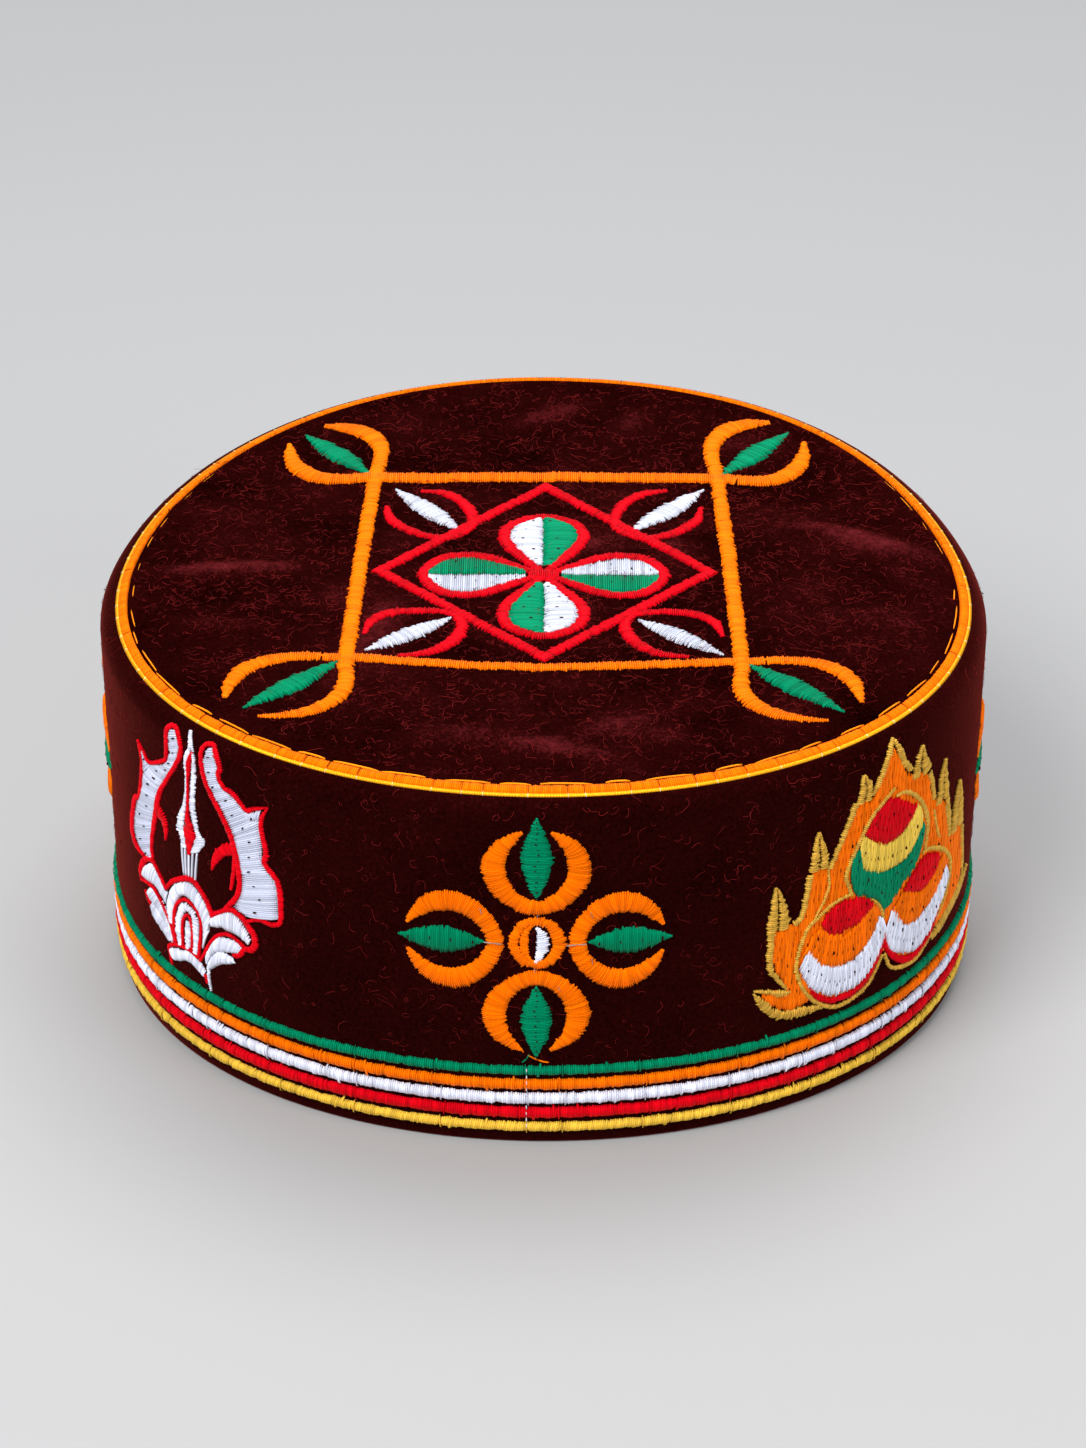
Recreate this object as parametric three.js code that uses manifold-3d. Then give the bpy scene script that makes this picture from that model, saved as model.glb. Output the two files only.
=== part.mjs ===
// A stiff round topi: a velvet side band and flat crown, five satin stripes round the hem,
// a satin ring with a gold cord round the crown seam, and raised satin embroidery.
// Millimetres, +Z up. The cap stands on its hem at z = 0, its front faces -Y, and +X is the
// wearer's left. Embroidery on the band is laid out on the flattened wall: "across" is the
// distance along the wall from the middle of the front (towards +X) and "up" is the height.
import * as THREE from 'three';
import { mergeVertices } from 'three/addons/utils/BufferGeometryUtils.js';
import Module from 'manifold-3d';

// Band and crown
const HEM_RADIUS = 91.7; // outer radius at the hem
const TOP_RADIUS = 92.3; // outer radius just below the shoulder
const SHOULDER_HEIGHT = 76; // where the wall starts to round over, at the front
const SHOULDER_ROUND = 3.7;
const WALL = 2.5;
const HEM_CHAMFER = 0.6;
const FRONT_SHIFT = 8; // how far the widest place lies in front of the middle
const BACK_RISE = 3.9; // how much higher the rim is at the back than at the front
const SEAM_RADIUS = 87.1; // inner edge of the band's lip
const CROWN_WALL = 2;
const CROWN_DOME = 1.6;
const CLEARANCE = 0.3;

// Trim round the crown seam
const RING_INNER = 85.5;
const RING_OUTER = 88;
const RING_HEIGHT = 1;
const CORD_RADIUS = 0.45;
const CORD_SIDES = 4;

// Raised embroidery
const PAD_LIFT = 0.4; // underside of a pad above the velvet
const PAD_HEIGHT = 0.8;
const PAD_SHOULDER = 0.8; // width of a pad's sloping edge
const STRIPE_HEIGHT = 0.8;

const SEGMENTS = 42;
const LIP_HEIGHT = SHOULDER_HEIGHT + SHOULDER_ROUND;

const COLOURS = {
  velvet: 0x2e070b,
  orange: 0xff8205,
  green: 0x05824b,
  white: 0xe4e6f0,
  red: 0xe60f1c,
  gold: 0xdca92a,
  metal: 0xf5c832,
};

// Satin stripes round the hem
const STRIPES = [
  { name: 'stripe_green', colour: 'green', height: 17.9, width: 2.3 },
  { name: 'stripe_orange', colour: 'orange', height: 14.5, width: 2.7 },
  { name: 'stripe_white', colour: 'white', height: 11.05, width: 2.8 },
  { name: 'stripe_red', colour: 'red', height: 7.55, width: 2.8 },
  { name: 'stripe_gold', colour: 'gold', height: 4.1, width: 2.4 },
];

// Soft folds of the crown: x, y of the middle, heading in degrees, half length, half width, rise
const CROWN_FOLDS = [
  { x: -65, y: -3, heading: 4, length: 17, width: 4.5, rise: 0.9 },
  { x: -68, y: 26, heading: 35, length: 12, width: 5, rise: 0.6 },
  { x: 66, y: 15, heading: -40, length: 13, width: 5, rise: 0.8 },
  { x: 2, y: -71, heading: -15, length: 16, width: 5.5, rise: 0.7 },
  { x: -8, y: 66, heading: 60, length: 10, width: 6, rise: 0.7 },
  { x: 16, y: 68, heading: -50, length: 9, width: 6, rise: 0.6 },
];
const CROWN_RINGS = [32, 50, 60, 68, 76, 82];

// Crown embroidery: corners of the square frame, with the size of the horns beyond each and
// the outward bow of the side that leads on to the next corner
const FRAME_WIDTH = 3.1;
const FRAME_CORNERS = [
  { name: 'front_left', x: -39.8, y: -38.3, horn: 1, bow: 3.2 },
  { name: 'front_right', x: 40, y: -38.8, horn: 1, bow: 0.2 },
  { name: 'back_right', x: 37.8, y: 38.9, horn: 0.96, bow: 0 },
  { name: 'back_left', x: -36.9, y: 38.8, horn: 0.96, bow: 0.2 },
];
// Horn beyond a corner: along the side's own line, inward from it, width
const HORN = [
  [5.5, 0.5, 3.1],
  [12, 0.6, 3.5],
  [17.5, -1.5, 4],
  [21.5, -6.5, 3.6],
  [23.4, -15.6, 0.9],
];
const DIAGONALS = [225, 315, 45, 135]; // headings of the corner leaves, in the corners' order
const CORNER_LEAF = { start: 2.6, end: 27.6, width: 5.5 };
const LEAF_WIDEST = 0.45; // share of a leaf's length
const LEAF_TIP = 0.5;
// Tips of the diamond's middle lines
const DIAMOND_WIDTH = 2.7;
const DIAMOND_TIPS = [
  { x: 34.9, y: -2.9 },
  { x: 0.3, y: 34.3 },
  { x: -34.5, y: -2.8 },
  { x: 0.1, y: -38 },
];
// Horseshoes across the diamond's left sides, each x, y, width, with the leaf that each holds;
// those of the right sides are mirrored
const DIAMOND_SIDES = [
  {
    name: 'back',
    horseshoe: [
      [-26.8, 33.2, 1.2],
      [-21.3, 31.2, 2.5],
      [-16.7, 25.5, 2.7],
      [-15.2, 17.8, 2.3],
      [-17.2, 13.4, 1.8],
      [-21.3, 11.6, 2.2],
      [-27.3, 13.4, 2.6],
      [-32.4, 18.8, 2.5],
      [-34, 25.7, 1],
    ],
    leaf: { from: { x: -19.2, y: 16.4 }, to: { x: -32.3, y: 33.4 }, width: 5 },
  },
  {
    name: 'front',
    horseshoe: [
      [-36.6, -29.2, 0.9],
      [-35, -23.6, 2.3],
      [-31, -20.2, 2.6],
      [-24, -19.4, 2.2],
      [-18.6, -21, 1.8],
      [-16.6, -26.2, 2.7],
      [-19.2, -32.6, 3],
      [-23.4, -36, 2.3],
      [-28.8, -36.5, 0.9],
    ],
    leaf: { from: { x: -20.5, y: -23.6 }, to: { x: -36, y: -35.6 }, width: 4.6 },
  },
];
const FLOWER = { x: 0, y: -4.4 };
// Outline of one petal: along it from the flower's middle, aside, width
const PETAL_OUTLINE = [
  [1, 0.3, 2],
  [6, 3.5, 2.2],
  [11.5, 7.2, 2.5],
  [16.5, 8.4, 2.5],
  [21.8, 6.6, 2.5],
  [25.2, 0, 2.5],
];
// Half of a petal's filling: along, aside, width
const PETAL_HALF = [
  [5.2, 0.8, 0.8],
  [9, 2.05, 3.2],
  [14, 3.3, 5.7],
  [19, 3.2, 5.5],
  [22.4, 1.5, 1.8],
];
const PETALS = [
  { name: 'back', heading: 90 },
  { name: 'left', heading: 180 },
  { name: 'front', heading: 270 },
  { name: 'right', heading: 0 },
];

// Four crosses on the band, each of four horseshoes with leaves round a small ring
const CROSS_UP = 48.2;
const CROSSES = [
  { name: 'cross_front', across: -1.1 },
  { name: 'cross_right', across: 147 },
  { name: 'cross_back', across: 289 },
  { name: 'cross_left', across: -147 },
];
// Arms of a cross, each stretched a little outward and aside
const ARMS = [
  { name: 'right', heading: 0, outward: 0.98, aside: 1 },
  { name: 'up', heading: 90, outward: 1.05, aside: 0.93 },
  { name: 'left', heading: 180, outward: 1, aside: 1 },
  { name: 'down', heading: 270, outward: 1, aside: 0.93 },
];
const CROSS_RING = { across: 5, up: 5.5, width: 2.4, points: 8 };
// Half of a horseshoe from its base: outward along the arm, aside, width
const HORSESHOE = [
  [7.8, 0, 3.6],
  [10.8, 6.1, 3.8],
  [16.4, 9, 4.7],
  [22, 7.2, 3.4],
  [25.4, 3.1, 0.9],
];
const CROSS_LEAF = { start: 10.7, end: 27.2, width: 6.4 };

// Lotus with a spear and two horns: each path's points are across, up, width
const LOTUSES = [
  { name: 'lotus_front_left', across: -79.5 },
  { name: 'lotus_back_right', across: 218 },
];
const LOTUS_PATHS = {
  foot: [[-7.5, 21.5, 2.6], [-3.8, 24, 3], [1, 24.6, 3.1], [4.6, 22.4, 2.4]],
  heart: [[-1.4, 25, 7.6], [-1, 31, 9], [-0.2, 38.5, 4]],
  middle_petal: [
    [-6.2, 29.5, 2.6], [-6.2, 35.5, 3.4], [-3, 40, 3.8], [1, 41.8, 4.6], [4.8, 39, 4.6], [5.4, 34, 4],
  ],
  upper_left: [[-19, 35.5, 1.6], [-15, 38.2, 6.5], [-11.4, 38, 5.6], [-6.6, 34.5, 3]],
  second_left: [[-16.6, 32.6, 2.4], [-12.5, 32.5, 4.8], [-8.5, 30, 3.4], [-4.4, 25, 2]],
  third_left: [[-14.8, 30, 2], [-11.5, 28.5, 4], [-4.8, 24.6, 1.8]],
  upper_right: [[6, 36.4, 2.6], [12, 39.2, 5.6], [16, 38.5, 5.2], [18.4, 36.2, 2.6]],
  second_right: [[2.6, 25, 3.2], [8, 31.5, 4.6], [12.3, 33.6, 4.6], [15.4, 33.6, 2.6]],
  third_right: [[4, 24, 2], [9, 28.7, 3.5], [13.2, 30.8, 1.4]],
  spear: [[0.8, 43, 4], [1.2, 50, 5], [1.8, 55.5, 8.4], [2.4, 64, 3.6], [3.6, 76, 2.4], [2.5, 79, 0.8]],
  left_horn: [
    [-2.3, 78.6, 1.5], [-1.9, 76, 4.4], [-5, 68, 6.6], [-11, 61.5, 8.4], [-15.6, 52, 11.4],
    [-17.2, 45.5, 11.5], [-14.8, 40.4, 4.5],
  ],
  left_barb: [[-12.6, 62.8, 4.8], [-15.6, 69, 0.8]],
  left_hook: [[-11, 57, 3.2], [-6.3, 50.1, 0.6]],
  right_horn: [
    [8.9, 78.6, 1.6], [9.4, 76, 4.8], [12, 68.4, 6.6], [18, 62, 9], [19, 56, 9.4], [20.6, 48.5, 11.8],
    [19.2, 40.4, 6],
  ],
  right_barb: [[18, 65, 4.6], [24, 70.6, 0.8]],
  right_hook: [[16, 58.4, 2.8], [8.6, 50, 0.6]],
};

// Three jewels in a flame: each row is a place across, with the lowest and highest point there
const FLAMES = [
  { name: 'front_right', across: 76 },
  { name: 'back_left', across: -218 },
];
const FLAME_ROWS = [
  [-33, 31.2, 31.8],
  [-29.6, 26, 41],
  [-28.6, 25, 56],
  [-25.8, 23, 46.8],
  [-23.4, 22.5, 52],
  [-22.9, 40.6, 53.5],
  [-19, 46, 65.3],
  [-16, 47.6, 57.5],
  [-12.4, 48.4, 63],
  [-11.6, 54, 64.5],
  [-9.8, 61.4, 66.8],
  [-8.8, 62.4, 75.3],
  [-6.3, 65, 70.8],
  [-1.3, 66.8, 77.4],
  [4.4, 65.6, 70.3],
  [8.4, 62.2, 74.4],
  [10.6, 59.4, 67],
  [11.9, 54, 63.5],
  [12.6, 48.6, 62.5],
  [14.5, 47.8, 61],
  [18.5, 46.2, 65.8],
  [22.4, 43.4, 49.3],
  [25.4, 40.4, 53],
  [26, 29, 55],
  [27, 25, 56.3],
  [31.5, 24, 43],
  [34, 24.6, 33.5],
  [40, 28, 28.6],
];
const JEWELS = [
  {
    name: 'top',
    colour: 'green',
    rows: [
      [-10.9, 51.5, 57],
      [-9, 47.6, 60.6],
      [-5.5, 45, 64],
      [-2.6, 42.8, 65.3],
      [-0.6, 40.4, 65.6],
      [1.6, 42.8, 65.3],
      [4.5, 45, 64],
      [9, 47.6, 60.6],
      [11, 51.5, 56.5],
    ],
  },
  {
    name: 'left',
    colour: 'red',
    rows: [
      [-22.2, 35.5, 39],
      [-20.5, 29, 43],
      [-17, 25, 45.7],
      [-12, 23.2, 46.5],
      [-7, 24.6, 43.8],
      [-3.2, 28.5, 40.4],
      [-1, 32.5, 38],
    ],
  },
  {
    name: 'right',
    colour: 'red',
    rows: [
      [0.5, 32.5, 38],
      [2.8, 28.5, 40.4],
      [7, 24.6, 44],
      [13, 23.2, 46.4],
      [18, 25, 45.2],
      [22.3, 29.5, 42],
      [24.8, 35.5, 38.5],
    ],
  },
];

const wasm = await Module();
wasm.setup();

// The cap's outline seen from above, starting at the middle of the front and turning to +X
class CapOutline extends THREE.Curve {
  constructor(radius) {
    super();
    this.radius = radius;
    this.arcLengthDivisions = 720;
  }

  getPoint(t) {
    return outlinePoint(2 * Math.PI * t - Math.PI / 2, this.radius);
  }
}

function outlinePoint(angle, radius) {
  const x = radius * Math.cos(angle);
  const y = radius * Math.sin(angle) - FRONT_SHIFT * Math.cos(angle) ** 2;
  return new THREE.Vector3(x, y, 0);
}

function rimRise(y) {
  return BACK_RISE * ((1 + y / TOP_RADIUS) / 2) ** 2;
}

function wallRadius(height) {
  return HEM_RADIUS + ((TOP_RADIUS - HEM_RADIUS) * height) / SHOULDER_HEIGHT;
}

const flatWall = new CapOutline(wallRadius(SHOULDER_HEIGHT / 2));
const wallLength = flatWall.getLength();

// A point on the band, "out" above the velvet; above the shoulder it follows the rounding over
function onWall(across, up, out) {
  const distance = (across + wallLength) % wallLength;
  const angle = 2 * Math.PI * flatWall.getUtoTmapping(0, distance) - Math.PI / 2;
  const shoulder = SHOULDER_HEIGHT + rimRise(flatWall.radius * Math.sin(angle));
  const turn = Math.max(0, up - shoulder) / SHOULDER_ROUND;
  const round = SHOULDER_ROUND + out;
  const radius = wallRadius(Math.min(up, shoulder)) - SHOULDER_ROUND + round * Math.cos(turn);
  const height = Math.min(up, shoulder) + round * Math.sin(turn);
  return outlinePoint(angle, radius).setZ(height);
}

function crownHeight(x, y) {
  const reach = Math.hypot(x, y) / SEAM_RADIUS;
  let height = LIP_HEIGHT + rimRise(y) + CROWN_DOME * (1 - Math.min(1, reach) ** 2);
  for (const fold of CROWN_FOLDS) {
    const heading = THREE.MathUtils.degToRad(fold.heading);
    const along = (x - fold.x) * Math.cos(heading) + (y - fold.y) * Math.sin(heading);
    const aside = (y - fold.y) * Math.cos(heading) - (x - fold.x) * Math.sin(heading);
    height += fold.rise * Math.exp(-((along / fold.length) ** 2) - (aside / fold.width) ** 2);
  }
  return height;
}

function onCrown(x, y, out) {
  return new THREE.Vector3(x, y, crownHeight(x, y) + out);
}

function solid(vertices, faces) {
  const geometry = new THREE.BufferGeometry().setFromPoints(vertices);
  geometry.setIndex(faces);
  geometry.computeVertexNormals();
  return geometry;
}

// Joins consecutive loops of equal size into a skin; a loop's points run anticlockwise
// seen against the direction in which the loops follow each other
function skin(loopCount, loopSize, closed) {
  const faces = [];
  const spans = closed ? loopCount : loopCount - 1;
  for (let i = 0; i < spans; i++) {
    const here = i * loopSize;
    const next = ((i + 1) % loopCount) * loopSize;
    for (let k = 0; k < loopSize; k++) {
      const l = (k + 1) % loopSize;
      faces.push(here + k, here + l, next + l, here + k, next + l, next + k);
    }
  }
  return faces;
}

// A ring round the cap with a closed section of [radius, height, share of the rise at the back]
function ringSolid(section) {
  const vertices = [];
  for (let i = 0; i < SEGMENTS; i++) {
    const angle = (2 * Math.PI * i) / SEGMENTS;
    for (const [radius, height, share] of section) {
      const point = outlinePoint(angle, radius);
      vertices.push(point.setZ(height + share * rimRise(point.y)));
    }
  }
  const faces = skin(SEGMENTS, section.length, true);
  return solid(vertices, faces.reverse());
}

function sideBand() {
  const inner = TOP_RADIUS - SHOULDER_ROUND;
  const section = [
    [HEM_RADIUS - HEM_CHAMFER, 0, 0],
    [HEM_RADIUS, HEM_CHAMFER, 0],
    [TOP_RADIUS, SHOULDER_HEIGHT, 1],
  ];
  for (const degrees of [30, 60, 90]) {
    const turn = THREE.MathUtils.degToRad(degrees);
    const radius = inner + SHOULDER_ROUND * Math.cos(turn);
    section.push([radius, SHOULDER_HEIGHT + SHOULDER_ROUND * Math.sin(turn), 1]);
  }
  section.push(
    [SEAM_RADIUS, LIP_HEIGHT, 1],
    [SEAM_RADIUS, LIP_HEIGHT - WALL, 1],
    [inner, LIP_HEIGHT - WALL, 1],
    [TOP_RADIUS - WALL, SHOULDER_HEIGHT, 1],
    [HEM_RADIUS - WALL, 0, 0],
  );
  return ringSolid(section);
}

// A disc with soft folds on its upper side and a plain underside
function crownTop() {
  const edge = SEAM_RADIUS - CLEARANCE;
  const vertices = [];
  const addPoint = (point, height) => vertices.push(point.setZ(height(point))) - 1;
  const addLoop = (radius, height) => {
    for (let i = 0; i < SEGMENTS; i++) {
      addPoint(outlinePoint((2 * Math.PI * i) / SEGMENTS, radius), height);
    }
  };
  const rim = (point) => LIP_HEIGHT + rimRise(point.y);
  const under = (point) => rim(point) - CROWN_WALL;
  const over = (point) => crownHeight(point.x, point.y);
  addLoop(edge / 2, under);
  addLoop(edge, under);
  addLoop(edge, rim);
  for (const radius of [...CROWN_RINGS].reverse()) {
    addLoop(radius, over);
  }
  const loops = CROWN_RINGS.length + 3;
  const faces = skin(loops, SEGMENTS, false);
  const last = (loops - 1) * SEGMENTS;
  const middle = new THREE.Vector3(0, -FRONT_SHIFT / 2, 0);
  const underMiddle = addPoint(middle.clone(), under);
  const overMiddle = addPoint(middle.clone(), over);
  for (let i = 0; i < SEGMENTS; i++) {
    const next = (i + 1) % SEGMENTS;
    faces.push(underMiddle, next, i, overMiddle, last + i, last + next);
  }
  return solid(vertices, faces);
}

function crownRing() {
  const base = LIP_HEIGHT + CLEARANCE;
  const middle = (RING_INNER + RING_OUTER) / 2;
  const slope = (RING_OUTER - RING_INNER) / 4;
  return ringSolid([
    [RING_INNER, base, 1],
    [RING_OUTER, base, 1],
    [middle + slope, base + RING_HEIGHT, 1],
    [middle - slope, base + RING_HEIGHT, 1],
  ]);
}

function crownCord() {
  const middle = RING_OUTER + CLEARANCE + CORD_RADIUS;
  const height = LIP_HEIGHT + CLEARANCE + CORD_RADIUS;
  const section = [];
  for (let i = 0; i < CORD_SIDES; i++) {
    const turn = (2 * Math.PI * i) / CORD_SIDES + Math.PI / 2;
    section.push([middle + CORD_RADIUS * Math.cos(turn), height + CORD_RADIUS * Math.sin(turn), 1]);
  }
  return ringSolid(section);
}

function stripe(height, width) {
  const low = height - width / 2;
  const high = height + width / 2;
  const slope = width / 5;
  const base = wallRadius(height) + CLEARANCE;
  return ringSolid([
    [base, low, 0],
    [base + STRIPE_HEIGHT, low + slope, 0],
    [base + STRIPE_HEIGHT, high - slope, 0],
    [base, high, 0],
  ]);
}

// A low pad with sloping edges between two rails; a station is [left point, right point]
function padSolid(stations, place, closed = false) {
  const vertices = [];
  for (const [left, right] of stations) {
    const width = left.distanceTo(right);
    const inset = Math.min(0.3, PAD_SHOULDER / width);
    const leftTop = left.clone().lerp(right, inset);
    const rightTop = right.clone().lerp(left, inset);
    const top = PAD_LIFT + PAD_HEIGHT;
    vertices.push(
      place(left.x, left.y, PAD_LIFT),
      place(leftTop.x, leftTop.y, top),
      place(rightTop.x, rightTop.y, top),
      place(right.x, right.y, PAD_LIFT),
    );
  }
  const faces = skin(stations.length, 4, closed);
  if (!closed) {
    const last = (stations.length - 1) * 4;
    faces.push(0, 3, 2, 0, 2, 1);
    faces.push(last, last + 1, last + 2, last, last + 2, last + 3);
  }
  return solid(vertices, faces);
}

// Stations along a smooth path whose points are [x, y, width]
function strokeStations(path, { closed = false, steps = 1 } = {}) {
  const points = path.map(([x, y, width]) => new THREE.Vector3(x, y, width));
  const curve = new THREE.CatmullRomCurve3(points, closed, 'catmullrom');
  const spans = (closed ? path.length : path.length - 1) * steps;
  const stations = [];
  for (let i = 0; i < (closed ? spans : spans + 1); i++) {
    const centre = curve.getPoint(i / spans);
    const heading = curve.getTangent(i / spans);
    const aside = new THREE.Vector2(-heading.y, heading.x).setLength(centre.z / 2);
    const middle = new THREE.Vector2(centre.x, centre.y);
    stations.push([middle.clone().add(aside), middle.clone().sub(aside)]);
  }
  return stations;
}

function stroke(path, place, options = {}) {
  return padSolid(strokeStations(path, options), place, options.closed);
}

// A leaf between two places, pointed at both ends
function leaf(from, to, width, place) {
  const middle = new THREE.Vector2().lerpVectors(from, to, LEAF_WIDEST);
  const path = [[from.x, from.y, LEAF_TIP], [middle.x, middle.y, width], [to.x, to.y, LEAF_TIP]];
  return stroke(path, place, { steps: 2 });
}

// A leaf from start to end along a heading in degrees
function leafAlong({ start, end, width }, heading, place) {
  return leaf({ x: start, y: 0 }, { x: end, y: 0 }, width, turned(heading, place));
}

// Placements of a flat pattern: turned by a heading in degrees, or moved along
function turned(heading, place) {
  const angle = THREE.MathUtils.degToRad(heading);
  const cos = Math.cos(angle);
  const sin = Math.sin(angle);
  return (along, aside, out) => place(along * cos - aside * sin, along * sin + aside * cos, out);
}

function moved(x, y, place) {
  return (along, aside, out) => place(x + along, y + aside, out);
}

function asManifold(geometry) {
  const bare = new THREE.BufferGeometry();
  bare.setAttribute('position', geometry.getAttribute('position'));
  bare.setIndex(geometry.getIndex());
  const merged = mergeVertices(bare);
  return new wasm.Manifold(
    new wasm.Mesh({
      numProp: 3,
      vertProperties: Float32Array.from(merged.getAttribute('position').array),
      triVerts: Uint32Array.from(merged.getIndex().array),
    }),
  );
}

// Joins touching pieces of embroidery into one body
function fused(geometries) {
  const whole = geometries.map(asManifold).reduce((joined, next) => joined.add(next));
  const mesh = whole.getMesh();
  const geometry = new THREE.BufferGeometry();
  geometry.setAttribute('position', new THREE.BufferAttribute(mesh.vertProperties, mesh.numProp));
  geometry.setIndex(new THREE.BufferAttribute(mesh.triVerts, 1));
  geometry.computeVertexNormals();
  return geometry;
}

function mirrored(path) {
  return path.map(([along, aside, width]) => [along, -aside, width]);
}

// A path from the far end of the mirrored half, through the shared first point, along the half
function bothSides(half) {
  return [...mirrored(half).reverse(), ...half.slice(1)];
}

// One side of the square frame, running on as a horn past the corner at each end
function frameSide(from, to) {
  const start = new THREE.Vector2(from.x, from.y);
  const end = new THREE.Vector2(to.x, to.y);
  const along = end.clone().sub(start).normalize();
  const inward = new THREE.Vector2(-along.y, along.x);
  const middle = start.clone().lerp(end, 0.5).addScaledVector(inward, -from.bow);
  const hornPath = (corner, size, direction) =>
    HORN.map(([reach, aside, width]) => {
      const point = corner.clone();
      point.addScaledVector(along, direction * reach * size).addScaledVector(inward, aside * size);
      return [point.x, point.y, width];
    });
  return [
    ...hornPath(start, from.horn, -1).reverse(),
    [start.x, start.y, FRAME_WIDTH],
    [middle.x, middle.y, FRAME_WIDTH],
    [end.x, end.y, FRAME_WIDTH],
    ...hornPath(end, to.horn, 1),
  ];
}

function crownFrame() {
  const sides = FRAME_CORNERS.map((corner, i) => {
    const next = FRAME_CORNERS[(i + 1) % FRAME_CORNERS.length];
    return stroke(frameSide(corner, next), onCrown);
  });
  return fused(sides);
}

// The left and right halves of the crown: a pattern drawn on the left is flipped over to the right
const HALVES = [
  { name: 'left', side: 1 },
  { name: 'right', side: -1 },
];

function crownDiamond() {
  const tips = DIAMOND_TIPS.map(({ x, y }) => [x, y, DIAMOND_WIDTH]);
  const pieces = tips.map((tip, i) => stroke([tip, tips[(i + 1) % tips.length]], onCrown, { steps: 3 }));
  for (const { side } of HALVES) {
    for (const { horseshoe } of DIAMOND_SIDES) {
      pieces.push(stroke(horseshoe.map(([x, y, width]) => [side * x, y, width]), onCrown));
    }
  }
  return fused(pieces);
}

function petalOutlines() {
  const outlines = PETALS.map(({ heading }) => {
    const place = turned(heading, moved(FLOWER.x, FLOWER.y, onCrown));
    const half = PETAL_OUTLINE;
    return stroke([...half, ...mirrored(half.slice(0, -1)).reverse()], place);
  });
  return fused(outlines);
}

function petalHalf(half, heading) {
  return stroke(half, turned(heading, moved(FLOWER.x, FLOWER.y, onCrown)));
}

function crossBody(across) {
  const place = moved(across, CROSS_UP, onWall);
  const ring = [];
  for (let i = 0; i < CROSS_RING.points; i++) {
    const angle = (2 * Math.PI * i) / CROSS_RING.points;
    ring.push([CROSS_RING.across * Math.cos(angle), CROSS_RING.up * Math.sin(angle), CROSS_RING.width]);
  }
  const pieces = [stroke(ring, place, { closed: true })];
  for (const arm of ARMS) {
    const half = HORSESHOE.map(([along, aside, width]) => [along * arm.outward, aside * arm.aside, width]);
    pieces.push(stroke(bothSides(half), turned(arm.heading, place)));
  }
  return fused(pieces);
}

function lotus(across) {
  const place = moved(across, 0, onWall);
  return fused(Object.values(LOTUS_PATHS).map((path) => stroke(path, place)));
}

// A pad whose rows are [across, low, high]
function rowPad(rows, across) {
  const stations = rows.map(([at, low, high]) => [new THREE.Vector2(at, high), new THREE.Vector2(at, low)]);
  return padSolid(stations, moved(across, 0, onWall));
}

const group = new THREE.Group();

function addPiece(name, geometry, colour, finish = {}) {
  const material = new THREE.MeshStandardMaterial({ color: COLOURS[colour], roughness: 0.5, ...finish });
  const mesh = new THREE.Mesh(geometry, material);
  mesh.name = name;
  group.add(mesh);
}

function addBody() {
  const velvet = { roughness: 0.95 };
  addPiece('side_band', sideBand(), 'velvet', velvet);
  addPiece('crown_top', crownTop(), 'velvet', velvet);
  addPiece('crown_satin_ring', crownRing(), 'orange');
  addPiece('crown_gold_cord', crownCord(), 'metal', { roughness: 0.3, metalness: 0.8 });
  for (const { name, colour, height, width } of STRIPES) {
    addPiece(name, stripe(height, width), colour);
  }
}

function addCrownEmbroidery() {
  addPiece('crown_frame', crownFrame(), 'orange');
  addPiece('crown_diamond', crownDiamond(), 'red');
  addPiece('petal_outlines', petalOutlines(), 'red');
  FRAME_CORNERS.forEach(({ name, x, y, horn }, i) => {
    const corner = moved(x, y, onCrown);
    const size = { ...CORNER_LEAF, end: CORNER_LEAF.end * horn };
    addPiece(`corner_leaf_${name}`, leafAlong(size, DIAGONALS[i], corner), 'green');
  });
  for (const half of HALVES) {
    for (const { name, leaf: { from, to, width } } of DIAMOND_SIDES) {
      const start = { x: half.side * from.x, y: from.y };
      const end = { x: half.side * to.x, y: to.y };
      addPiece(`inner_leaf_${name}_${half.name}`, leaf(start, end, width, onCrown), 'white');
    }
  }
  for (const { name, heading } of PETALS) {
    addPiece(`petal_${name}_white`, petalHalf(PETAL_HALF, heading), 'white');
    addPiece(`petal_${name}_green`, petalHalf(mirrored(PETAL_HALF), heading), 'green');
  }
}

function addBandEmbroidery() {
  for (const { name, across } of CROSSES) {
    addPiece(name, crossBody(across), 'orange');
    for (const arm of ARMS) {
      const place = moved(across, CROSS_UP, onWall);
      const size = { ...CROSS_LEAF, end: CROSS_LEAF.end * arm.outward };
      addPiece(`${name}_leaf_${arm.name}`, leafAlong(size, arm.heading, place), 'green');
    }
  }
  for (const { name, across } of LOTUSES) {
    addPiece(name, lotus(across), 'white');
  }
  for (const { name, across } of FLAMES) {
    addPiece(`flame_${name}`, rowPad(FLAME_ROWS, across), 'orange');
    for (const jewel of JEWELS) {
      addPiece(`jewel_${name}_${jewel.name}`, rowPad(jewel.rows, across), jewel.colour);
    }
  }
}

addBody();
addCrownEmbroidery();
addBandEmbroidery();

export default group;
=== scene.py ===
"""The looks of an embroidered velvet topi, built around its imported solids.

Shapes are worked out in millimetres and become metres when a mesh is made. Embroidery on the
side band is laid out on the flattened wall: "across" is the distance along the wall from the
middle of the front, towards +X, and "up" is the height. On the crown it is laid out in x and y.
A place is a function that carries such flat points, and their distance out from the cloth, to
points on the cap.
"""
import math

import bpy
import numpy as np
from mathutils import Euler, Matrix, Vector


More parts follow.
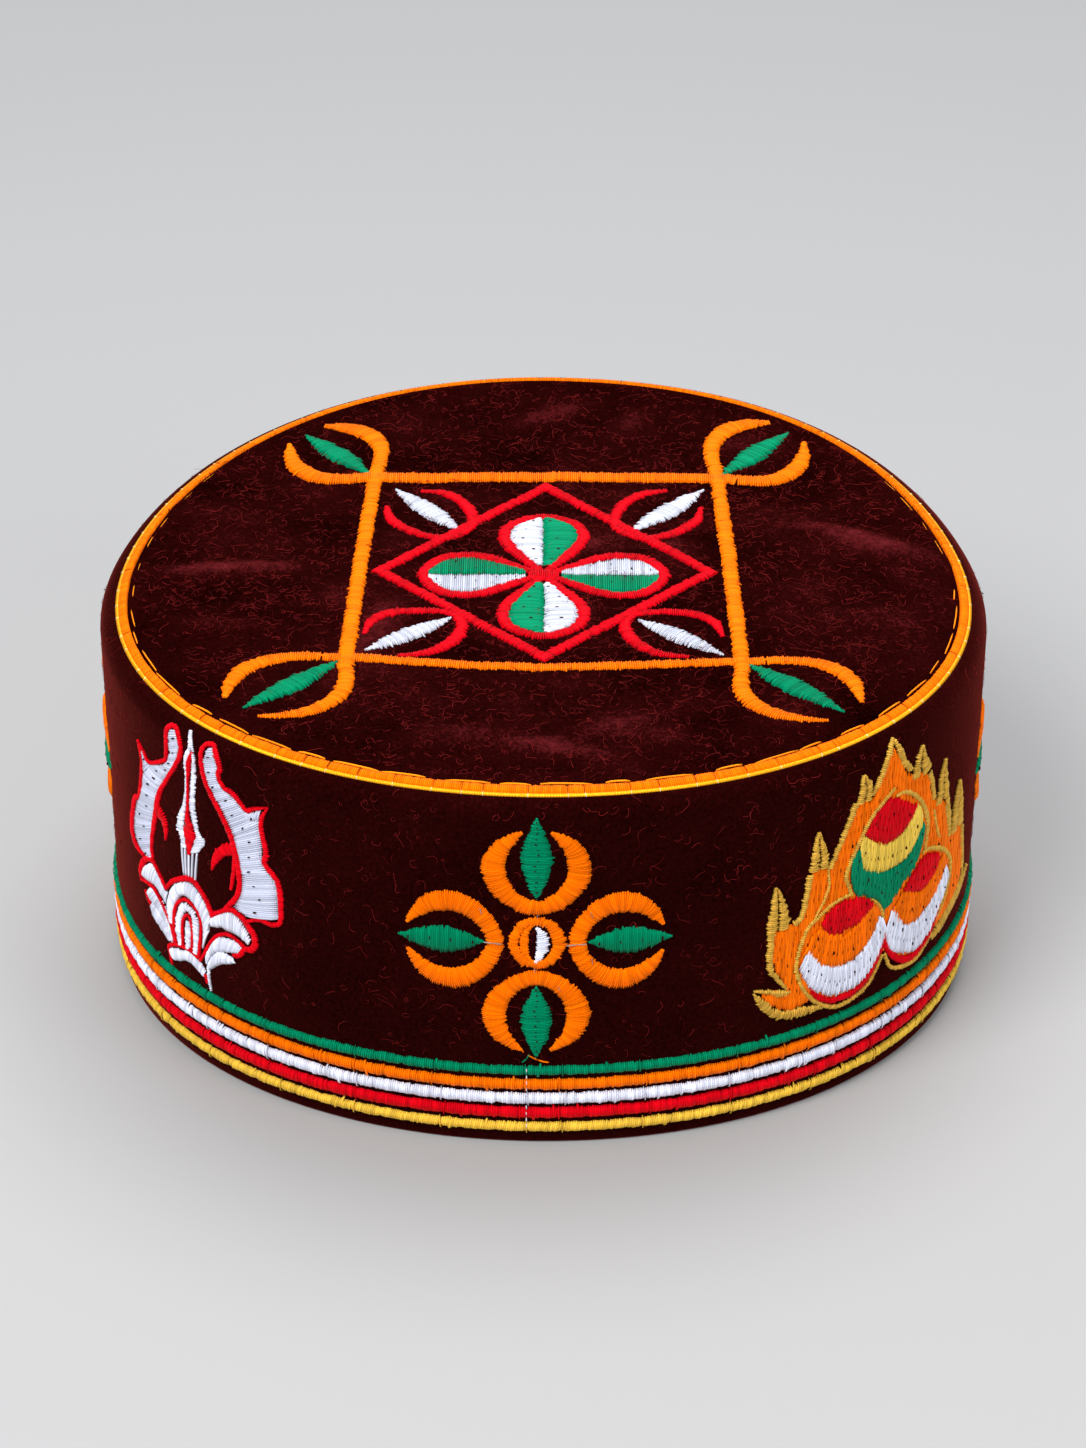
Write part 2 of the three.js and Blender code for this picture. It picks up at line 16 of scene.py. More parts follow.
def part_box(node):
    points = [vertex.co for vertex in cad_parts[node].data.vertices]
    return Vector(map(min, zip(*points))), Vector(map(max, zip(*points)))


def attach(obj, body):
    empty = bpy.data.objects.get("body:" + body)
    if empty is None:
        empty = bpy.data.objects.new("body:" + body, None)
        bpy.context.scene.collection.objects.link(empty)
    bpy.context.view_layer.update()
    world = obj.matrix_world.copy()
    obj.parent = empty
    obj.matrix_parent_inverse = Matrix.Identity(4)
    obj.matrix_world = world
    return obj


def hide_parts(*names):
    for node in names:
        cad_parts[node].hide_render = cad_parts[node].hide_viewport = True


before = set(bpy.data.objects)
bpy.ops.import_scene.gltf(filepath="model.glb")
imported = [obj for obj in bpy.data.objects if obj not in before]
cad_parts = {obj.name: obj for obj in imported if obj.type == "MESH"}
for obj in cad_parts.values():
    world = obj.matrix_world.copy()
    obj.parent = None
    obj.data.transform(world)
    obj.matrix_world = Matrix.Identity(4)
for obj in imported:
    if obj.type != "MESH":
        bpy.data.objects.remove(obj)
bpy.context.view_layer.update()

MM = 0.001

# Seeds of the random draws
FOLD_SEED = 11
FIBRE_SEED = 5
TIE_SEED = 31
FIRST_STITCH_SEED = 100

# Velvet body: the sizes of the solids, but with a higher back and a puffed crown
HEM_RADIUS = 91.7
TOP_RADIUS = 92.3
SHOULDER_HEIGHT = 76
SHOULDER_ROUND = 3.7
WALL = 2.5
HEM_ROUND = 0.9
FRONT_SHIFT = 8
BACK_RISE = 4.3
# How far the back corners of the outline stand out, as shares of the radius
RIGHT_FULLNESS = 0.043
LEFT_FULLNESS = 0.018
SEAM_RADIUS = 87.1
CROWN_WALL = 2
CROWN_DOME = 1.6
# Part of the dome that is reached just inside the seam, and how steeply
CROWN_PUFF = 0.65
PUFF_POWER = 90
LIP_HEIGHT = SHOULDER_HEIGHT + SHOULDER_ROUND
# Gap between crown and seam, and share of the radius left open in the middle of the crown
CROWN_INSET = 0.1
PINHOLE = 0.001
# Points round the cap, and loops of points in each stretch of the velvet
ROUND_SEGMENTS = 240
HEM_LOOPS, WALL_LOOPS, SHOULDER_LOOPS, INSIDE_LOOPS = 4, 26, 8, 10
UNDERSIDE_LOOPS, CROWN_LOOPS = 8, 56

# Slow unevenness of the side band: waves round the cap, phase, size
WALL_WAVES = [(3, 0.7, 0.16), (7, 2.1, 0.10), (13, 4.0, 0.06)]
# Climb in which a wave shifts by one radian, and the height over which it swells and dies away
WAVE_CLIMB = 40
WAVE_SPAN = 90

# Soft folds of the crown: x, y of the middle, heading in degrees, half length, half width, rise,
# and painted sheen: how much paler the velvet is painted there, where light catches the fold
CROWN_FOLDS = [
    (-66.5, -1.5, 4, 15, 2.4, 1.3, 0.9),
    (-65, -25, -8, 13, 2.6, 0.8, 0.4),
    (-72, 23, -18, 9, 3.0, 0.8, 0.4),
    (69, 12, -29, 16, 3.2, 1.2, 0.8),
    (66, -20, 20, 11, 4.0, 0.7, 0.3),
    (2.5, -72.5, -18, 11, 3.6, 1.0, 0.8),
    (-17, -67, 10, 9, 4, 0.6, 0.4),
    (22.5, -67.5, -10, 8, 4, 0.6, 0.4),
    (-0.5, 67, 34, 11, 3.5, 0.9, 0.6),
    (19.5, 64, 64, 9, 4, 0.9, 0.5),
]
# Small puckers between them: number, farthest from the middle, then least and greatest sizes, rise, and
# painted sheen on the rising ones
SMALL_FOLDS = 80
SMALL_FOLD_REACH = 80
SMALL_FOLD_LENGTHS = (5, 14)
SMALL_FOLD_WIDTHS = (2, 5)
SMALL_FOLD_RISE = 0.3
SMALL_FOLD_PAINTED_SHEEN = 0.5

# Seam trim round the crown
RING_INNER = 86.4
RING_OUTER = 88.5
# Height of the ring at its inner and outer edge, width of its steep inner side, rise of its stitches
RING_CREST = 0.95
RING_EDGE = 0.3
RING_WALL = 0.3
RING_RISE = 0.45
# How far the trim and the top of the band sink below the crown at the back
SEAM_SINK = 0.6
CORD_RADIUS = 0.47
CORD_CENTRE = RING_OUTER + 0.05
CORD_SIDES = 7
CORD_STEP = 0.19
# Length of one wrap of the cord, and how far the wraps stand out as a share of its radius
WRAP_PITCH = 0.56
WRAP_DEPTH = 0.08
# Ties over the cord: distance between them, start inside the cord's middle, run, spread of the ends
TIE_GAP = 6.5
TIE_START, TIE_RUN, TIE_SPREAD = 0.35, 0.9, 0.1
# Distance from the front within which every tie has a painted shade line across the ring, one in how
# many has one elsewhere, and how far the line stays off the ring's outer edge
FRONT_TIES = 80
FEWER_TIES = 4
RING_TIE_INSET = 0.1
# Long stitches inside the ring: distance from one to the next, least and greatest half length,
# radius with its spread, and height
RUNNING_GAP = 10.5
RUNNING_HALVES = (2.4, 5.2)
RUNNING_RADIUS = RING_INNER - 0.7
RUNNING_SPREAD = 0.2
RUNNING_LIFT = 0.36
# Distance from the back within which the running stitches are lost in the pile
RUNNING_END = 85
# How far they ride up on the ring at the front
RUNNING_RIDE = 0.36

# Thread
THREAD_WIDTH = 0.6
THREAD_DEPTH = 0.34
STITCH_PITCH = 0.45
FINE_PITCH = 0.36
STITCH_SHARE = np.array([0.0, 0.2, 0.5, 0.8, 1.0])
STITCH_ARCH = np.array([0.0, 0.82, 1.0, 0.82, 0.0])
STITCH_TAPER = np.array([0.7, 1.0, 1.0, 1.0, 0.7])
# Share of a thread's depth that lies above its line
CREST_SHARE = 0.6
# Rise of a satin column: share of its width, least and greatest, and its spread from stitch to stitch
RISE_SHARE = 0.15
RISE_LIMITS = (0.22, 0.55)
RISE_SPREAD = (0.86, 1.1)
STRAY_REACH = (0.3, 0.7)
GROOVE_REACH = 0.5
# Stitches of a filled area
SHORTEST_STITCH, LONGEST_STITCH = 1.2, 9
FILLING_LIFT, FILLING_RISE, FILLING_DEPTH = 0.2, 0.22, 0.22
# Dark slits between stitches: half length, width, rise
SLIT_HALVES = (0.25, 0.5)
SLIT_WIDTH = 0.34
SLIT_RISE = 0.08
# Narrow columns have less ragged edges: half widths at which they are least and most ragged
RAGGED_WIDTHS = (0.2, 1)
LEAST_WIDTH = 0.3
# Keeps a length from being zero
TINY = 1e-9
# Height of a motif that is worked over another
UPPER_LAYER = 0.45

# Loose fibres on the pile
CROWN_FIBRES = 5200
BAND_FIBRES = 2600
FIBRE_POINTS = 6
FIBRE_HALF_WIDTH = 0.045
FIBRE_LENGTHS = (1.4, 4.2)
# Turn at each point, in radians: spread from fibre to fibre, and along one
FIBRE_CURL, FIBRE_WAVER = 0.75, 0.35
# Least and greatest lean of a fibre out of the cloth, in degrees, and how high it may stand
FIBRE_LEANS = (10, 55)
CROWN_STAND = 0.5
BAND_STAND = 0.15
# Size of the clusters and margin inside the ring
CLUSTER_REACH = 5
FIBRE_MARGIN = 2
# Lowest and highest fibre on the band, and how low the clusters may stray
FIBRE_LEVELS = (20, SHOULDER_HEIGHT + 3)
FIBRE_FLOOR = 3

# Camera
CAMERA_PLACE = (0.0, -0.7242, 0.4693)
CAMERA_PITCH = math.radians(30.45)
CAMERA_ROLL = math.radians(0.265)
CAMERA_LENS = 97.0
SENSOR_WIDTH = 36


def linear(red, green, blue):
    """A colour given as 0 to 255 screen values, as linear light."""
    shares = [value / 255 for value in (red, green, blue)]
    return tuple(((v + 0.055) / 1.055) ** 2.4 if v > 0.04 else v / 12.92 for v in shares)


# Surfaces of the cap

def outline(angle, radius):
    """The cap's outline seen from above; the front is at -90 degrees, and the back corners are full."""
    fullness = np.where(np.cos(angle) > 0, RIGHT_FULLNESS, LEFT_FULLNESS)
    radius = radius * (1 + fullness * np.sin(2 * angle) ** 2 * np.maximum(np.sin(angle), 0))
    x = radius * np.cos(angle)
    y = radius * np.sin(angle) - FRONT_SHIFT * np.cos(angle) ** 2
    return x, y


def rim_rise(y):
    return BACK_RISE * ((1 + y / TOP_RADIUS) / 2) ** 2


def seam_sink(angle):
    """How far the trim and the top of the band sink, most at the back."""
    return SEAM_SINK * ((1 + np.sin(angle)) / 2) ** 2


def shoulder_height(angle):
    """Where the band starts to round over."""
    return SHOULDER_HEIGHT + rim_rise(outline(angle, TOP_RADIUS)[1]) - seam_sink(angle)


def wall_radius(angle, height):
    radius = HEM_RADIUS + (TOP_RADIUS - HEM_RADIUS) * height / SHOULDER_HEIGHT
    swell = np.sin(np.pi * height / WAVE_SPAN)
    for count, phase, size in WALL_WAVES:
        radius = radius + size * np.sin(count * angle + phase + height / WAVE_CLIMB) * swell
    return radius


WALL_ANGLES = np.linspace(-math.pi / 2, 3 * math.pi / 2, 1441)


def distances_along(radius):
    x, y = outline(WALL_ANGLES, radius)
    return np.concatenate([[0], np.cumsum(np.hypot(np.diff(x), np.diff(y)))])


WALL_DISTANCES = distances_along((HEM_RADIUS + TOP_RADIUS) / 2)
WALL_LENGTH = WALL_DISTANCES[-1]
SEAM_DISTANCES = distances_along(RING_OUTER)
SEAM_LENGTH = SEAM_DISTANCES[-1]


def on_wall(across, up, out):
    """Points on the side band, "out" above the velvet; they follow the rounded shoulder."""
    angle = np.interp(np.mod(across, WALL_LENGTH), WALL_DISTANCES, WALL_ANGLES)
    shoulder = shoulder_height(angle)
    turn = np.maximum(0, up - shoulder) / SHOULDER_ROUND
    height = np.minimum(up, shoulder)
    reach = SHOULDER_ROUND + out
    radius = wall_radius(angle, height) - SHOULDER_ROUND + reach * np.cos(turn)
    x, y = outline(angle, radius)
    return np.stack([x, y, height + reach * np.sin(turn)], axis=-1)


def small_folds():
    """Shallow puckers scattered over the crown, in the columns of CROWN_FOLDS."""
    rng = np.random.default_rng(FOLD_SEED)
    reach = SMALL_FOLD_REACH * np.sqrt(rng.uniform(0, 1, SMALL_FOLDS))
    around = rng.uniform(0, 2 * math.pi, SMALL_FOLDS)
    share = rng.uniform(-1, 1, SMALL_FOLDS)
    return list(zip(
        reach * np.cos(around), reach * np.sin(around), rng.uniform(0, 180, SMALL_FOLDS),
        rng.uniform(*SMALL_FOLD_LENGTHS, SMALL_FOLDS), rng.uniform(*SMALL_FOLD_WIDTHS, SMALL_FOLDS),
        SMALL_FOLD_RISE * share, SMALL_FOLD_PAINTED_SHEEN * np.maximum(share, 0),
    ))


ALL_FOLDS = CROWN_FOLDS + small_folds()


def fold_shares(x, y):
    """For every fold, its rise, its painted sheen and how far it is felt at x, y, from 0 to 1."""
    for fold_x, fold_y, heading, length, width, rise, pile in ALL_FOLDS:
        cos, sin = math.cos(math.radians(heading)), math.sin(math.radians(heading))
        along = (x - fold_x) * cos + (y - fold_y) * sin
        aside = (y - fold_y) * cos - (x - fold_x) * sin
        yield rise, pile, np.exp(-(along / length) ** 2 - (aside / width) ** 2)


SEAM_X, SEAM_Y = outline(WALL_ANGLES, SEAM_RADIUS)
SEAM_DIRECTIONS = np.unwrap(np.arctan2(SEAM_Y, SEAM_X))


def seam_reach(x, y):
    """How far out a place on the crown lies, from 0 in the middle to 1 at the seam."""
    direction = np.mod(np.arctan2(y, x) + math.pi / 2, 2 * math.pi) - math.pi / 2
    edge = np.interp(direction, SEAM_DIRECTIONS, np.hypot(SEAM_X, SEAM_Y))
    return np.minimum(1, np.hypot(x, y) / edge)


def crown_height(x, y):
    reach = seam_reach(x, y)
    puff = CROWN_PUFF * (1 - reach ** PUFF_POWER)
    dome = (CROWN_DOME - CROWN_PUFF) * (1 - reach ** 2)
    folds = sum(rise * share for rise, _, share in fold_shares(x, y))
    return LIP_HEIGHT + rim_rise(y) + puff + dome + folds


def crown_painted_sheen(x, y):
    """Painted sheen of the crown, from 0 to 1: how much paler the velvet is painted on the rising
    folds, where light catches them.
    """
    return np.clip(sum(pile * share for _, pile, share in fold_shares(x, y)), 0, 1)


def on_crown(x, y, out):
    return np.stack([x, y, crown_height(x, y) + out], axis=-1)


def on_seam(along, radius, out):
    """Points on the seam trim: along it from the front, at a radius, above the lip."""
    angle = np.interp(np.mod(along, SEAM_LENGTH), SEAM_DISTANCES, WALL_ANGLES)
    x, y = outline(angle, radius)
    return np.stack([x, y, LIP_HEIGHT + rim_rise(y) + out - seam_sink(angle)], axis=-1)


def on_ring(along, radius, out):
    """Points on the satin ring: a short steep inner side, then a slope down to the outer edge."""
    profile = [RING_INNER, RING_INNER + RING_WALL, RING_OUTER]
    lift = np.interp(radius, profile, [0, RING_CREST, RING_EDGE])
    return on_seam(along, radius, out + lift)


def moved(dx, dy, place):
    return lambda x, y, out: place(x + dx, y + dy, out)


def mirrored(side, place):
    return lambda x, y, out: place(x * side, y, out)


def turned(heading, place):
    cos, sin = math.cos(math.radians(heading)), math.sin(math.radians(heading))
    return lambda x, y, out: place(x * cos - y * sin, x * sin + y * cos, out)


# Meshes and pieces

def add_mesh(name, vertices, triangles, material, smooth=True, **values):
    """A mesh object from arrays in millimetres, with named values stored at its points."""
    mesh = bpy.data.meshes.new(name)
    mesh.vertices.add(len(vertices))
    mesh.vertices.foreach_set("co", (np.asarray(vertices) * MM).astype(np.float32).ravel())
    mesh.loops.add(len(triangles) * 3)
    mesh.loops.foreach_set("vertex_index", np.asarray(triangles, np.int32).ravel())
    mesh.polygons.add(len(triangles))
    mesh.polygons.foreach_set("loop_start", np.arange(0, len(triangles) * 3, 3, dtype=np.int32))
    mesh.polygons.foreach_set("use_smooth", np.full(len(triangles), smooth))
    mesh.update(calc_edges=True)
    mesh.validate()
    mesh.materials.append(material)
    for title, numbers in values.items():
        stored = mesh.attributes.new(title, "FLOAT", "POINT")
        stored.data.foreach_set("value", np.asarray(numbers, np.float32))
    piece = bpy.data.objects.new(name, mesh)
    bpy.context.scene.collection.objects.link(piece)
    return piece


def settle(piece, replaced=()):
    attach(piece, "root")
    if replaced:
        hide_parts(*replaced)


def grid_triangles(rows, columns, wrap_rows=False, wrap_columns=False):
    """Triangles of a grid of points, row by row."""
    i, j = np.meshgrid(
        np.arange(rows if wrap_rows else rows - 1),
        np.arange(columns if wrap_columns else columns - 1),
        indexing="ij",
    )
    a = i * columns + j
    b = i * columns + (j + 1) % columns
    c = ((i + 1) % rows) * columns + (j + 1) % columns
    d = ((i + 1) % rows) * columns + j
    faces = np.stack([a, b, c, a, c, d], axis=-1)
    return faces.reshape(-1, 3)


def strand_triangles(stations):
    """Triangles of a strand with three points at each station and closed ends."""
    last = 3 * stations - 3
    ends = [(0, 1, 2), (last, last + 2, last + 1)]
    return np.concatenate([grid_triangles(stations, 3, wrap_columns=True)[:, ::-1], ends])


def copies(triangles, size, count):
    """The triangles of one strand of a size in points, for a number of strands."""
    return (triangles[None] + size * np.arange(count)[:, None, None]).reshape(-1, 3)


# Thread work

def smooth_path(points, closed=False, steps=14):
    """A smooth curve through the given rows; every column is carried along it."""
    p = np.array(points, float)
    if closed:
        p = np.vstack([p[-1:], p, p[:2]])
    else:
        p = np.vstack([2 * p[:1] - p[1:2], p, 2 * p[-1:] - p[-2:-1]])
    t = np.linspace(0, 1, steps, endpoint=False)[:, None]
    spans = []
    for a, b, c, d in zip(p, p[1:], p[2:], p[3:]):
        bend = (2 * a - 5 * b + 4 * c - d) * t ** 2 + (3 * b - a - 3 * c + d) * t ** 3
        spans.append(b + ((c - a) * t + bend) / 2)
    return np.vstack(spans + [p[-2:-1]])


def stroke_rails(points, closed=False):
    """The two edges of a stroke whose rows are x, y, width."""
    path = smooth_path(points, closed)
    heading = np.gradient(path[:, :2], axis=0)
    heading /= np.linalg.norm(heading, axis=1, keepdims=True) + TINY
    aside = np.stack([-heading[:, 1], heading[:, 0]], axis=1) * np.maximum(path[:, 2:], LEAST_WIDTH) / 2
    return path[:, :2] + aside, path[:, :2] - aside


def row_rails(rows, fan=0.0):
    """The two edges of an area whose rows are across, low, high; a fan spreads the low ends."""
    path = smooth_path(rows)
    low, high = path[:, [0, 1]], path[:, [0, 2]]
    spread = fan * (path[:, 0] - path[:, 0].mean())
    low[:, 0] += spread
    high[:, 0] -= spread
    return low, high


def ladder_rails(rungs):
    """The two edges of an area given by rungs: the x and y of one end, then of the other."""
    path = smooth_path(rungs)
    return path[:, :2], path[:, 2:]


def spaced(left, right, pitch):
    """The edges again at even steps along the line between them, and the distance of each step."""
    middle = (left + right) / 2
    travel = np.concatenate([[0], np.cumsum(np.linalg.norm(np.diff(middle, axis=0), axis=1))])
    count = max(1, round(travel[-1] / pitch))
    at = (np.arange(count) + 0.5) * travel[-1] / count

    def picked(edge):
        return np.stack([np.interp(at, travel, column) for column in edge.T], axis=1)

    return picked(left), picked(right), at


class ThreadWork:
    """Gathers stitches of one thread into one piece."""

    made = 0

    def __init__(self, name, thread, replaced=()):
        self.name = name
        self.thread = thread
        self.replaced = replaced
        self.parts = []
        self.rng = np.random.default_rng(FIRST_STITCH_SEED + ThreadWork.made)
        ThreadWork.made += 1

    def stitches(self, start, end, place, rise, lift=0.0, width=THREAD_WIDTH, depth=THREAD_DEPTH):
        """Single stitches from start to end points, arched by rise and lifted off the cloth."""
        count = len(start)
        along = end - start
        length = np.linalg.norm(along, axis=1, keepdims=True) + TINY
        aside = np.stack([-along[:, 1], along[:, 0]], axis=1) / length * width / 2
        centre = start[:, None] + along[:, None] * STITCH_SHARE[None, :, None]
        spread = aside[:, None] * STITCH_TAPER[None, :, None]
        crest = lift + depth * CREST_SHARE + np.reshape(rise, (-1, 1)) * STITCH_ARCH
        crest = np.broadcast_to(crest, centre.shape[:2])
        flat = np.stack([centre - spread, centre, centre + spread], axis=2)
        out = np.stack([crest - depth, crest, crest - depth], axis=2)
        size = 3 * len(STITCH_SHARE)
        run = np.repeat((length * STITCH_SHARE)[..., None], 3, axis=2)
        turn = np.broadcast_to(np.array([0.0, 0.5, 1.0]), run.shape)
        self.parts.append({
            "points": place(flat[..., 0], flat[..., 1], out).reshape(-1, 3),
            "tone": np.repeat(self.rng.uniform(0, 1, count), size),
            "run": np.stack([run, turn], axis=-1).reshape(-1, 2),
        })

    def column(self, rails, place, rise=None, lift=0.0, ragged=0.16, grow=0.0, depth=THREAD_DEPTH,
               pitch=STITCH_PITCH, stray=0.0, grooves=None, sink=0.3, pinch=0.0):
        """Satin stitches between two edges, grown past them by a margin; some stray further.

        All of them sink and draw in at the grooves.
        """
        left, right, at = spaced(*rails, pitch)
        width = np.linalg.norm(right - left, axis=1, keepdims=True)
        unit = (right - left) / (width + TINY)
        reach = grow + self.rng.normal(0, ragged, (2, len(at), 1)) * np.clip(width / 2, *RAGGED_WIDTHS)
        strays = self.rng.uniform(0, 1, reach.shape) < stray
        reach += strays * self.rng.uniform(*STRAY_REACH, reach.shape)
        if rise is None:
            rise = np.clip(RISE_SHARE * width[:, 0], *RISE_LIMITS)
        rise = rise * self.rng.uniform(*RISE_SPREAD, len(at))
        if grooves is not None:
            near = np.abs(at[:, None] - grooves[None]).min(axis=1)
            groove = np.exp(-(near / GROOVE_REACH) ** 2)
            rise = rise * (1 - sink * groove)
            reach -= pinch * groove[None, :, None]
        self.stitches(left - unit * reach[0], right + unit * reach[1], place, rise, lift, depth=depth)

    def stroke(self, points, place, closed=False, **options):
        self.column(stroke_rails(points, closed), place, **options)

    def filling(self, rails, place, ragged=0.25, lift=0.0):
        """Rows of stitches side by side; long rows are broken into staggered stitches."""
        left, right, _ = spaced(*rails, STITCH_PITCH)
        starts, ends = [], []
        for i, (a, b) in enumerate(zip(left, right)):
            length = np.linalg.norm(b - a)
            unit = (b - a) / (length + TINY)
            first, last = self.rng.normal(0, ragged, 2)
            cuts = np.arange((i % 3) / 3 * LONGEST_STITCH, length, LONGEST_STITCH)
            cuts = cuts[(cuts > SHORTEST_STITCH) & (cuts < length - SHORTEST_STITCH)]
            knots = a + unit * np.concatenate([[-first], cuts, [length + last]])[:, None]
            starts.extend(knots[:-1])
            ends.extend(knots[1:])
        starts, ends = np.array(starts), np.array(ends)
        self.stitches(starts, ends, place, FILLING_RISE, lift + FILLING_LIFT, depth=FILLING_DEPTH)

    def slits(self, rails, place, gap, lift, spread=0.08, size=1.0):
        """Short dark stitches down the middle of a worked area, in line with its stitches."""
        left, right, _ = spaced(*rails, gap)
        middle = left + (right - left) * self.rng.uniform(0.5 - spread, 0.5 + spread, (len(left), 1))
        unit = (right - left) / (np.linalg.norm(right - left, axis=1, keepdims=True) + TINY)
        half = unit * size * self.rng.uniform(*SLIT_HALVES, (len(left), 1))
        self.stitches(middle - half, middle + half, place, SLIT_RISE, lift, width=SLIT_WIDTH * size)

    def line(self, points, place, width=0.3, rise=0.2, lift=0.0):
        """A loose thread laid along points, one stitch for each stretch."""
        p = np.array(points, float)
        self.stitches(p[:-1], p[1:], place, rise, lift, width)

    def finish(self):
        points, tone, run = (
            np.concatenate([part[key] for part in self.parts]) for key in ("points", "tone", "run")
        )
        size = 3 * len(STITCH_SHARE)
        faces = copies(strand_triangles(len(STITCH_SHARE)), size, len(points) // size)
        piece = add_mesh(self.name, points, faces, THREADS[self.thread]["material"], tone=tone)
        uv = piece.data.uv_layers.new(name="thread")
        uv.data.foreach_set("uv", run[faces.ravel()].astype(np.float32).ravel())
        settle(piece, self.replaced)


# Materials

def new_material(name):
    material = bpy.data.materials.new(name)
    material.use_nodes = True
    tree = material.node_tree
    return material, tree, tree.nodes["Principled BSDF"]


def fill(socket, value):
    """Gives an input its value, or links it where the value is the output of another node."""
    if isinstance(value, bpy.types.NodeSocket):
        socket.id_data.links.new(value, socket)
    else:
        socket.default_value = value


def set_node(node, **values):
    """Settings and inputs of a node; the names of inputs have _ for a space."""
    for name, value in values.items():
        if hasattr(node, name):
            setattr(node, name, value)
        else:
            fill(node.inputs[name.replace("_", " ")], value)


def add_node(tree, kind, output, **values):
    """The named output of a new node."""
    node = tree.nodes.new(kind)
    set_node(node, **values)
    return node.outputs[output]


def add_math(tree, operation, *values):
    """The result of a sum on numbers and on outputs of other nodes."""
    node = tree.nodes.new("ShaderNodeMath")
    node.operation = operation
    for socket, value in zip(node.inputs, values):
        fill(socket, value)
    return node.outputs["Value"]


def add_ramp(tree, source, stops):
    """A colour ramp from stops of a position and a colour each."""
    ramp = tree.nodes.new("ShaderNodeValToRGB")
    fill(ramp.inputs["Fac"], source)
    elements = ramp.color_ramp.elements
    for position, _ in stops[len(elements):]:
        elements.new(position)
    for element, (position, colour) in zip(elements, stops):
        element.position = position
        element.color = (*colour, 1)
    return ramp.outputs["Color"]


def thread_material(name, colour, roughness=0.5, metallic=0.0, tones=(0.76, 1.14)):
    """Glossy twisted thread: each stitch has its own tone, and a fine twist runs along it."""
    material, tree, shader = new_material(name)
    tone = add_node(tree, "ShaderNodeAttribute", "Fac", attribute_name="tone")
    value = add_node(tree, "ShaderNodeMapRange", "Result", Value=tone, To_Min=tones[0], To_Max=tones[1])
    shade = add_node(tree, "ShaderNodeHueSaturation", "Color", Value=value, Color=(*colour, 1))
    place = add_node(tree, "ShaderNodeUVMap", "UV", uv_map="thread")
    twist = add_node(
        tree, "ShaderNodeTexWave", "Fac", bands_direction="DIAGONAL",
        Vector=place, Scale=1.1, Distortion=0.4,
    )
    bump = add_node(tree, "ShaderNodeBump", "Normal", Height=twist, Strength=0.3, Distance=0.0001)
    gloss = [channel / max(colour) for channel in colour]
    set_node(
        shader, Base_Color=shade, Normal=bump, Roughness=roughness, Metallic=metallic,
        Specular_IOR_Level=0.25, Specular_Tint=(*gloss, 1),
    )
    return material


# Colours of the pile, from its dark depth up to the painted sheen on the folds of the crown
VELVET_RAMP = [(0.3, linear(6, 0, 0)), (0.55, linear(36, 4, 4)), (1.0, linear(104, 30, 34))]
VELVET_SHEEN = linear(196, 76, 66)
# Start on the ramp, then how far the grain and the painted sheen of the folds move up it
PILE_LEVEL, GRAIN_SHARE, PAINTED_SHEEN_SHARE = 0.17, 0.56, 0.7


def velvet_material(name, cloudiness, sheen):
    """Short pile: cloudy, finely grained, painted paler on the folds where light catches them, with a
    grazing sheen.
    """
    material, tree, shader = new_material(name)
    place = add_node(tree, "ShaderNodeTexCoord", "Object")

    def noise(**values):
        return add_node(tree, "ShaderNodeTexNoise", "Fac", Vector=place, **values)

    clouds = noise(Scale=45, Detail=6, Roughness=0.65)
    grain = noise(Scale=1400, Detail=3, Roughness=0.7)
    mottle = noise(Scale=330, Detail=4, Roughness=0.7)
    # The pile attribute is painted sheen from the crown's folds, broken up by a mottle
    pile = add_node(tree, "ShaderNodeAttribute", "Fac", attribute_name="pile")
    broken = add_math(tree, "MULTIPLY", pile, mottle)
    level = PILE_LEVEL - cloudiness / 2
    for source, share in ((clouds, cloudiness), (grain, GRAIN_SHARE), (broken, PAINTED_SHEEN_SHARE)):
        level = add_math(tree, "MULTIPLY_ADD", source, share, level)
    bump = add_node(tree, "ShaderNodeBump", "Normal", Height=grain, Strength=0.6, Distance=0.0003)
    set_node(
        shader, Base_Color=add_ramp(tree, level, VELVET_RAMP), Normal=bump, Roughness=1.0,
        Specular_IOR_Level=0.0, Sheen_Weight=sheen, Sheen_Roughness=0.36,
        Sheen_Tint=(*VELVET_SHEEN, 1),
    )
    return material


CROWN_VELVET = velvet_material("crown_velvet", cloudiness=0.55, sheen=0.05)
BAND_VELVET = velvet_material("band_velvet", cloudiness=0.3, sheen=0.48)
LINT = thread_material("velvet_fibre", linear(112, 26, 26), roughness=0.9, tones=(0.35, 1.5))

# Threads: material slot, colour, roughness
THREAD_LOOKS = {
    "orange": ("orange_thread", linear(252, 117, 3), 0.5),
    "amber": ("orange_thread", linear(255, 150, 22), 0.5),
    "umber_painted_shade": ("orange_thread", linear(150, 66, 4), 0.6),
    "green": ("green_thread", linear(2, 128, 88), 0.5),
    "white": ("white_thread", linear(232, 234, 248), 0.5),
    # Darker copy of the white for the crown: painted shade that offsets the stronger light there
    "crown_white_painted_shade": ("white_thread", linear(196, 199, 211), 0.6),
    "silver": ("white_thread", linear(204, 208, 226), 0.5),
    "red": ("red_thread", linear(220, 7, 24), 0.5),
    # Darker copy of the red for the crown: painted shade that offsets the stronger light there
    "crown_red_painted_shade": ("red_thread", linear(204, 5, 22), 0.5),
    "gold": ("gold_thread", linear(240, 195, 68), 0.32),
    "dull_gold": ("gold_thread", linear(213, 166, 66), 0.45),
    "yellow": ("gold_thread", linear(240, 203, 82), 0.5),
    "pale_gold": ("gold_thread", linear(252, 236, 178), 0.5),
    "grey": ("white_thread", linear(158, 148, 140), 0.6),
    "dark": ("velvet", linear(38, 8, 8), 0.8),
}
